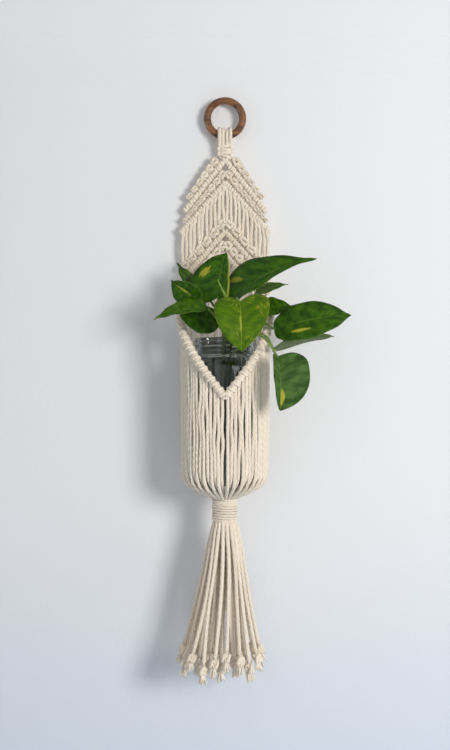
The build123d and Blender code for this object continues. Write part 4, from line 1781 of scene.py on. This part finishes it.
def blade_points(plan: LeafPlan, origin: Vector) -> tuple[list[Vector], list[tuple[float, float]], int, int]:
    """The grid of points on a leaf's blade.

    Args:
        plan: The leaf.
        origin: The centre of the jar's rim.

    Returns:
        The points, their coordinates on the blade, and how many points there are along and across.
    """
    base = origin + Vector(plan.base)
    spine = Vector(plan.tip) - Vector(plan.base)
    length = spine.length
    ahead = spine.normalized()
    normal = (Vector(plan.facing) - ahead * Vector(plan.facing).dot(ahead)).normalized()
    side = normal.cross(ahead)
    outline = [(0.0, 0.0), *plan.shape.value, (1.0, 0.0)]
    edge = smooth_line([Vector((x, y * plan.width / length, 0)) for x, y in outline], 5)
    rows, columns = len(edge), 13
    waver = wobble(random.Random(plan.name), 3)
    points, coords = [], []
    for row, rim in enumerate(edge):
        share = row / (rows - 1)
        root = share**1.2
        for column in range(columns):
            across = 2 * column / (columns - 1) - 1
            reach = abs(across)
            x = (root + (rim.x - root) * reach) * length
            y = rim.y * length * across * (1 + plan.lopsided * math.copysign(1, across))
            x -= plan.skew * y
            rise = plan.arch * (1 - (2 * x / length - 1) ** 2)
            rise += plan.fold * abs(y) * (1 - 0.35 * reach)
            rise += plan.wave * waver(2.2 * share + 0.3 * across) * reach**2 * 2
            rise -= plan.droop * max(0.0, x / length - 0.45) ** 2
            points.append(base + ahead * x + side * y + normal * rise)
            coords.append((root, 0.5 + 0.5 * across))
    return points, coords, rows, columns


@dataclass
class Cuttings:
    """The pothos cuttings: stems, roots, leaf stalks and leaves."""

    layout: Layout
    green: bpy.types.Material
    root: bpy.types.Material
    plans: tuple[LeafPlan, ...]
    stem_r: float = 0.0022
    stalk_r: float = 0.0013
    foot: float = 0.135
    blade_thickness: float = 0.0006
    bow: float = 0.0012
    nodes_per_stem: float = 3.4
    stem_taper: float = 0.22
    roots_per_stem: int = 4
    root_depth: tuple[float, float] = (0.075, 0.12)
    root_reach: tuple[float, float] = (0.006, 0.015)
    root_fall: tuple[float, float] = (0.018, 0.034)
    root_radii: tuple[float, float] = (0.0008, 0.0003)
    rolled_leaf: tuple[Place, ...] = (
        (0.004, -0.036, 0.034),
        (0.001, -0.043, 0.044),
        (-0.004, -0.046, 0.053),
        (-0.008, -0.046, 0.062),
    )
    # Place from the rim's centre, and height of the stem's top.
    stems: dict[str, Place] = field(
        default_factory=lambda: {
            "a": (-0.002, -0.010, 0.026),
            "b": (0.007, -0.019, 0.018),
            "c": (0.016, -0.006, 0.020),
            "d": (0.011, 0.009, 0.024),
            "e": (0.000, 0.008, 0.022),
        }
    )
    rng: random.Random = field(default_factory=lambda: random.Random(71))

    @property
    def origin(self) -> Vector:
        """The centre of the jar's rim."""
        return Vector((0, self.layout.jar_axis_y, self.layout.jar_rim_z))

    def build(self) -> None:
        """Build the stems, the roots and the leaves."""
        dress(self.vines(), Body.PLANT, Slot.STEM, "vine_stems")
        dress(self.roots(), Body.PLANT, Slot.STEM)
        for plan in self.plans:
            dress(self.blade(plan), Body.PLANT, Slot.LEAF, plan.name)
            dress(self.stalk(plan), Body.PLANT, Slot.STEM)
        dress(self.new_leaf(), Body.PLANT, Slot.LEAF)

    def vines(self) -> Piece:
        """The stems, thicker at their nodes.

        Returns:
            The stems.
        """
        weave = Weave()
        for x, y, top in self.stems.values():
            bow = [self.rng.uniform(-self.bow, self.bow) for _ in range(4)]
            route = [
                Vector((x + bow[0], y, -self.foot)),
                Vector((x + bow[1], y + bow[0], -0.65 * self.foot)),
                Vector((x + bow[2], y + bow[1], -0.3 * self.foot)),
                Vector((x, y + bow[2] * 0.4, 0)),
                Vector((x, y, top)),
            ]
            line = [self.origin + point for point in smooth_line(route, 14)]
            phase = self.rng.uniform(0, 1)
            radii = []
            for index in range(len(line)):
                node = max(0.0, math.cos(TURN * (phase + self.nodes_per_stem * index / len(line)))) ** 12
                taper = 1 - self.stem_taper * index / len(line)
                radii.append(self.stem_r * (0.86 * taper + 0.24 * node))
            weave.tube(line, radii, 12, self.rng.random())
        return weave.piece("vines", self.green)

    def roots(self) -> Piece:
        """The roots in the water.

        Returns:
            The roots.
        """
        thick, thin = self.root_radii
        weave = Weave()
        for x, y, _ in self.stems.values():
            for _ in range(self.roots_per_stem):
                depth = self.rng.uniform(*self.root_depth)
                angle = self.rng.uniform(0, TURN)
                reach = self.rng.uniform(*self.root_reach)
                out = Vector((math.cos(angle), math.sin(angle), 0))
                start = self.origin + Vector((x, y, -depth))
                fall = self.rng.uniform(*self.root_fall)
                route = [
                    start,
                    start + out * (0.6 * reach) - UP * 0.004,
                    start + out * reach - UP * (0.5 * fall),
                    start + out * (reach * self.rng.uniform(0.7, 1.1)) - UP * fall,
                ]
                line = smooth_line(route, 6)
                radii = [thick + (thin - thick) * index / len(line) for index in range(len(line))]
                weave.tube(line, radii, 7, self.rng.random())
        return weave.piece("water_roots", self.root)

    def stalk(self, plan: LeafPlan) -> Piece:
        """A leaf's stalk, from its stem to its blade.

        Args:
            plan: The leaf.

        Returns:
            The stalk.
        """
        x, y, _ = self.stems[plan.stem]
        base, tip = Vector(plan.base), Vector(plan.tip)
        joint = Vector((x, y, plan.joint_height))
        route = [joint, Vector(plan.elbow), base, base.lerp(tip, 0.05)]
        line = [self.origin + point for point in smooth_line(route, 12)]
        radii = [self.stalk_r * (1.15 - 0.35 * index / len(line)) for index in range(len(line))]
        weave = Weave()
        weave.tube(line, radii, 10, self.rng.random())
        return weave.piece(f"{plan.name}_stalk", self.green)

    def blade(self, plan: LeafPlan) -> Piece:
        """A leaf's blade.

        Args:
            plan: The leaf.

        Returns:
            The blade.
        """
        points, coords, rows, columns = blade_points(plan, self.origin)
        weave = Weave()
        weave.points = points
        weave.tones = [0.5] * len(points)
        for row in range(rows - 1):
            for column in range(columns - 1):
                here = row * columns + column
                face = (here, here + columns, here + columns + 1, here + 1)
                weave.faces.append(face)
                weave.coords += [coords[index] for index in face]
        piece = weave.piece(f"{plan.name}_blade", plan.finish.material(), "blade")
        thick = piece.modifiers.new("blade_thickness", "SOLIDIFY")
        thick.thickness = self.blade_thickness
        thick.offset = 0.0
        return piece

    def new_leaf(self) -> Piece:
        """A leaf that is still rolled up.

        Returns:
            The rolled leaf.
        """
        route = [Vector(place) for place in self.rolled_leaf]
        line = [self.origin + point for point in smooth_line(route, 8)]
        last = len(line) - 1
        radii = [0.0003 + 0.0013 * math.sin(math.pi * (0.25 + 0.75 * i / last)) for i in range(last + 1)]
        weave = Weave()
        weave.tube(line, radii, 10, 1.0)
        return weave.piece("new_leaf_roll", self.green)


def leaf_plans() -> tuple[LeafPlan, ...]:
    """The cuttings' leaves.

    Returns:
        A plan for each leaf.
    """
    sunlit = {"deep": (0.042, 0.105, 0.001), "fresh": (0.080, 0.165, 0.002), "midrib": (0.26, 0.32, 0.03)}
    bright = {"deep": (0.020, 0.070, 0.002), "fresh": (0.060, 0.140, 0.004)}
    # Painted sheen: paler, bluer greens that stand in for the bluish-grey reflection on the low leaf.
    painted_sheen = {"deep": (0.024, 0.066, 0.010), "fresh": (0.070, 0.142, 0.030)}
    dull = {"deep": (0.060, 0.105, 0.025), "fresh": (0.105, 0.160, 0.048), "midrib": (0.16, 0.22, 0.08)}
    return (
        LeafPlan(
            "leaf_front", "b", 0.014, (0.010, -0.044, 0.046),
            (0.0161, -0.0605, 0.0364), (0.0181, -0.0705, -0.0167), (0.05, -0.98, 0.17), 0.053, 0.005,
            LeafFinish("front_leaf", **sunlit, flecks=0.56, streaks=(Streak(0.46, 0.49, 0.20, 0.022, 0.6),)),
            Blade.HEART, fold=0.16, lopsided=0.05, skew=0.09,
        ),
        LeafPlan(
            "leaf_right", "c", 0.008, (0.040, -0.022, 0.020),
            (0.0545, -0.0365, 0.0075), (0.1373, -0.0445, 0.0231), (0.0, -0.90, 0.42), 0.041, 0.008,
            LeafFinish("right_leaf", flecks=0.68, streaks=(Streak(0.34, 0.27, 0.11, 0.055),)),
            Blade.OVAL, fold=0.12,
        ),
        LeafPlan(
            "leaf_right_low", "b", 0.004, (0.036, -0.051, 0.009),
            (0.0568, -0.0600, -0.0216), (0.0590, -0.0680, -0.0800), (0.2, -0.95, 0.15), 0.034, 0.005,
            LeafFinish("low_leaf", **painted_sheen, flecks=0.68, streaks=(Streak(0.78, 0.53, 0.17, 0.09),)),
            Blade.ROUND, fold=0.20, lopsided=0.66,
        ),
        LeafPlan(
            "leaf_right_edge", "c", 0.003, (0.045, -0.032, 0.007),
            (0.0526, -0.0370, -0.0146), (0.1206, -0.0260, 0.0009), (-0.2, 0.34, 0.92), 0.028, 0.004,
            LeafFinish("edge_leaf", **dull, flecks=0.74),
            Blade.OVAL, fold=0.12,
        ),
        LeafPlan(
            "leaf_top_right", "d", 0.020, (0.010, -0.012, 0.042),
            (0.0100, -0.0285, 0.0455), (0.0995, -0.0435, 0.0865), (-0.25, -0.80, 0.54), 0.036, 0.010,
            LeafFinish("upper_leaf", flecks=0.66, streaks=(Streak(0.30, 0.84, 0.035, 0.13, 0.55),)),
            Blade.DRIP, fold=0.10, droop=0.010, lopsided=0.46,
        ),
        LeafPlan(
            "leaf_right_small", "d", 0.014, (0.024, 0.004, 0.038),
            (0.0349, -0.0065, 0.0511), (0.0705, -0.0125, 0.0596), (-0.2, -0.55, 0.80), 0.020, 0.002,
            LeafFinish("small_leaf", **bright, flecks=0.64),
            fold=0.10, wave=0.0004,
        ),
        LeafPlan(
            "leaf_right_behind", "c", 0.016, (0.030, -0.008, 0.029),
            (0.0415, -0.0105, 0.0317), (0.0767, -0.0205, 0.0333), (0.0, -0.85, 0.5), 0.024, 0.003,
            LeafFinish("behind_leaf", **bright, flecks=0.66),
        ),
        LeafPlan(
            "leaf_top", "a", 0.022, (-0.008, -0.016, 0.037),
            (-0.0080, -0.0225, 0.0443), (0.0016, -0.0105, 0.0956), (-0.3, -0.92, 0.25), 0.042, 0.005,
            LeafFinish(
                "top_leaf", flecks=0.62,
                streaks=(Streak(0.56, 0.80, 0.09, 0.09, 0.7), Streak(0.55, 0.03, 0.45, 0.07, 0.6)),
            ),
            Blade.HEART, lopsided=0.45,
        ),
        LeafPlan(
            "leaf_top_left", "e", 0.018, (-0.014, 0.002, 0.040),
            (-0.0248, -0.0065, 0.0499), (-0.0544, 0.0015, 0.0857), (-0.45, -0.8, -0.2), 0.019, 0.004,
            LeafFinish("upper_left_leaf", **bright, flecks=0.60),
        ),
        LeafPlan(
            "leaf_left", "a", 0.014, (-0.016, -0.026, 0.030),
            (-0.0275, -0.0325, 0.0392), (-0.0590, -0.0385, 0.0617), (-0.3, -0.85, -0.4), 0.027, 0.003,
            LeafFinish("left_leaf", flecks=0.64, streaks=(Streak(0.60, 0.44, 0.26, 0.07),)),
            Blade.OVAL,
        ),
        LeafPlan(
            "leaf_left_low", "a", 0.007, (-0.011, -0.034, 0.024),
            (-0.0198, -0.0465, 0.0316), (-0.0767, -0.0545, 0.0182), (0.1, -0.7, 0.7), 0.022, 0.004,
            LeafFinish("low_left_leaf", **bright, flecks=0.64, streaks=(Streak(0.96, 0.45, 0.08, 0.5, 0.7),)),
            fold=0.12, wave=0.0006, lopsided=-0.45,
        ),
        LeafPlan(
            "leaf_left_under", "e", 0.008, (-0.012, -0.010, 0.016),
            (-0.0070, -0.0280, 0.0165), (-0.0500, -0.0325, 0.0235), (0.0, -0.93, 0.36), 0.031, 0.002,
            LeafFinish("under_leaf", flecks=0.68),
            Blade.OVAL, lopsided=0.08,
        ),
    )


class LampRole(Enum):
    """What a lamp is for: lighting forms, showing in shiny surfaces, or both."""

    FORM = "form"
    GLOSS = "gloss"
    BOTH = "both"


@dataclass(frozen=True)
class Lamp:
    """A soft area light."""

    name: str
    place: Place
    aim: Place
    size: float
    watts: float
    colour: Colour = (1.0, 1.0, 1.0)
    role: LampRole = LampRole.BOTH

    def light(self) -> None:
        """Set the light up."""
        data = bpy.data.lights.new(self.name, "AREA")
        data.shape = "DISK"
        data.size = self.size
        data.energy = self.watts
        data.color = self.colour
        lamp = bpy.data.objects.new(self.name, data)
        lamp.location = self.place
        lamp.visible_diffuse = self.role is not LampRole.GLOSS
        lamp.visible_glossy = self.role is not LampRole.FORM
        lamp.visible_transmission = False
        lamp.rotation_euler = (Vector(self.aim) - Vector(self.place)).to_track_quat("-Z", "Y").to_euler()
        bpy.context.scene.collection.objects.link(lamp)


@dataclass
class Studio:
    """A pale wall and floor, soft light, and the camera."""

    wall_y: float = 0.0118
    wall_top: float = 0.14
    floor_z: float = -1.35
    reach: float = 2.5
    wall_colour: Colour = (0.775, 0.776, 0.778)
    painted_shade_foot_colour: Colour = (0.65, 0.70, 0.78)
    # Heights between which painted shade darkens the wall and turns it bluer towards the foot, and then those
    # between which it fades out.
    foot_span: tuple[float, float] = (-0.85, -0.40)
    fade_span: tuple[float, float] = (0.015, 0.125)
    paint_grain: float = 220.0
    paint_relief: float = 0.0006
    mottle: float = 0.15
    camera_place: Place = (0.0, -1.25, -0.3192)
    lens_mm: float = 50.85
    sensor_mm: float = 36.0
    sky: Colour = (0.97, 0.985, 1.0)
    sky_strength: float = 0.40
    # The sky's strength where one sees past the wall, from left to right, painted light that copies the lit
    # wall, and the directions it changes in.
    far_tone: tuple[float, float] = (0.628, 0.942)
    far_span: tuple[float, float] = (-0.6, 0.6)
    lamps: tuple[Lamp, ...] = (
        Lamp(
            "window", (1.00, -1.60, -0.10), (0.0, 0.0, -0.30), 0.6, 23.0,
            (1.0, 0.985, 0.96), LampRole.FORM,
        ),
        Lamp("window_glow", (1.00, -1.60, 0.10), (0.0, 0.0, -0.30), 0.9, 7.0, role=LampRole.GLOSS),
        Lamp("side_pane", (-1.40, -0.55, -0.25), (0.0, -0.05, -0.30), 0.36, 5.0, role=LampRole.GLOSS),
        Lamp("front_fill", (-0.5, -2.2, 0.3), (0.0, 0.0, -0.35), 1.6, 4.0),
        Lamp("rear_fill", (0.5, 1.8, 0.3), (0.0, 0.0, -0.35), 1.4, 14.0, role=LampRole.FORM),
    )

    def build(self) -> None:
        """Set the studio up."""
        paint = self.paint()
        low, top = -self.reach, self.wall_top
        wall = [(-1, low), (1, low), (1, top), (-1, top)]
        corners = [Vector((x * self.reach, self.wall_y, z)) for x, z in wall]
        self.plane("studio_wall", corners, paint)
        ground = [(-1, -1), (1, -1), (1, 0), (-1, 0)]
        floor = [Vector((x * self.reach, self.wall_y + y * self.reach, self.floor_z)) for x, y in ground]
        self.plane("studio_floor", floor, paint)
        for lamp in self.lamps:
            lamp.light()
        self.world()
        self.camera()
        log.info("the studio is set up")

    def paint(self) -> bpy.types.Material:
        """Matt pale paint with painted shade, darker and bluer at the foot, seen from its front only and
        fading out at the top.

        Returns:
            The material.
        """
        desk = MaterialDesk("pale_paint")
        place = desk.place((1, 1, 1))
        tone = desk.noise(place, 2.0, 1.0)
        height = desk.vectors("DOT_PRODUCT", place, tuple(UP)).outputs["Value"]
        # Painted shade: the wall darkens and turns bluer towards the foot, with a random mottle.
        share = desk.sums("MULTIPLY_ADD", tone, -self.mottle, desk.between(height, *self.foot_span))
        desk.settle(Base_Color=desk.mix(share, self.painted_shade_foot_colour, self.wall_colour))
        desk.settle(Roughness=0.9, Specular_IOR_Level=0.1)
        desk.bump(desk.noise(place, self.paint_grain), self.paint_relief, 0.3)
        back = desk.add("NewGeometry").outputs["Backfacing"]
        gone = desk.sums("MAXIMUM", back, desk.between(height, *self.fade_span))
        choice = desk.add("MixShader")
        looks = (gone, desk.shader.outputs[0], desk.add("BsdfTransparent").outputs[0])
        for socket, look in zip(choice.inputs, looks):
            desk.feed(socket, look)
        desk.feed(desk.surface, choice.outputs[0])
        return desk.material

    def plane(self, name: str, corners: Sequence[Vector], paint: bpy.types.Material) -> None:
        """Add a flat face of the stage.

        Args:
            name: Its name.
            corners: Its corners.
            paint: Its material.
        """
        mesh = bpy.data.meshes.new(name)
        mesh.from_pydata(corners, [], [(0, 1, 2, 3)])
        mesh.materials.append(paint)
        face = bpy.data.objects.new(name, mesh)
        face.visible_shadow = False
        bpy.context.scene.collection.objects.link(face)

    def world(self) -> None:
        """Even light from all round, and painted light where one sees past the wall: the lit wall's
        brightness, dimmer on the left and brighter on the right.
        """
        desk = SkyDesk("soft_sky")
        desk.settle(Color=self.sky)
        path = desk.add("LightPath").outputs
        seen = desk.sums("MAXIMUM", path["Is Camera Ray"], path["Is Glossy Ray"])
        seen = desk.sums("MAXIMUM", seen, path["Is Transmission Ray"])
        across, along = desk.split(desk.add("TexCoord").outputs["Generated"])
        seen = desk.sums("MULTIPLY", seen, desk.between(along, *self.far_span))
        # Painted light: dimmer on the left and brighter on the right, as the window lamp lights the wall.
        dim, bright = self.far_tone
        tone = desk.sums("MULTIPLY_ADD", desk.between(across, *self.far_span), bright - dim, dim)
        rise = desk.sums("SUBTRACT", tone, self.sky_strength)
        desk.settle(Strength=desk.sums("MULTIPLY_ADD", seen, rise, self.sky_strength))
        bpy.context.scene.world = desk.world

    def camera(self) -> None:
        """The camera, square to the wall."""
        data = bpy.data.cameras.new("camera")
        data.lens = self.lens_mm
        data.sensor_width = self.sensor_mm
        camera = bpy.data.objects.new("camera", data)
        camera.location = self.camera_place
        camera.rotation_euler = (math.pi / 2, 0, 0)
        bpy.context.scene.collection.objects.link(camera)
        bpy.context.scene.camera = camera


def main() -> None:
    """Dress the planter and set up the studio."""
    logging.basicConfig(level=logging.INFO, format="%(name)s: %(message)s")
    bpy.context.scene.view_settings.view_transform = "Standard"
    layout = Layout.measured()
    cotton = CottonFinish().material()
    Studio().build()
    Tassel(layout, cotton, FluffFinish().material()).build()
    Crown(layout, cotton, WoodFinish().material()).build()
    Panel(layout, cotton).build()
    Pocket(layout, cotton).build()
    # Glass and water far darker than clear: painted shade for the shaded inside of the pocket that is seen
    # through them.
    glass = ClearFinish("pressed_glass", (0.44, 0.49, 0.48), 1.45, 0.0004, 26.0)
    water = ClearFinish("still_water", (0.46, 0.57, 0.43), 1.33, 0.0002, 12.0)
    Jar(layout, glass.material(), water.material()).build()
    green = StemFinish("green_stem", (0.20, 0.30, 0.05), (0.055, 0.115, 0.018))
    root = StemFinish("pale_root", (0.46, 0.38, 0.22), (0.20, 0.14, 0.07))
    Cuttings(layout, green.material(), root.material(), leaf_plans()).build()
    log.info("the planter is dressed")


if __name__ == "__main__":
    main()
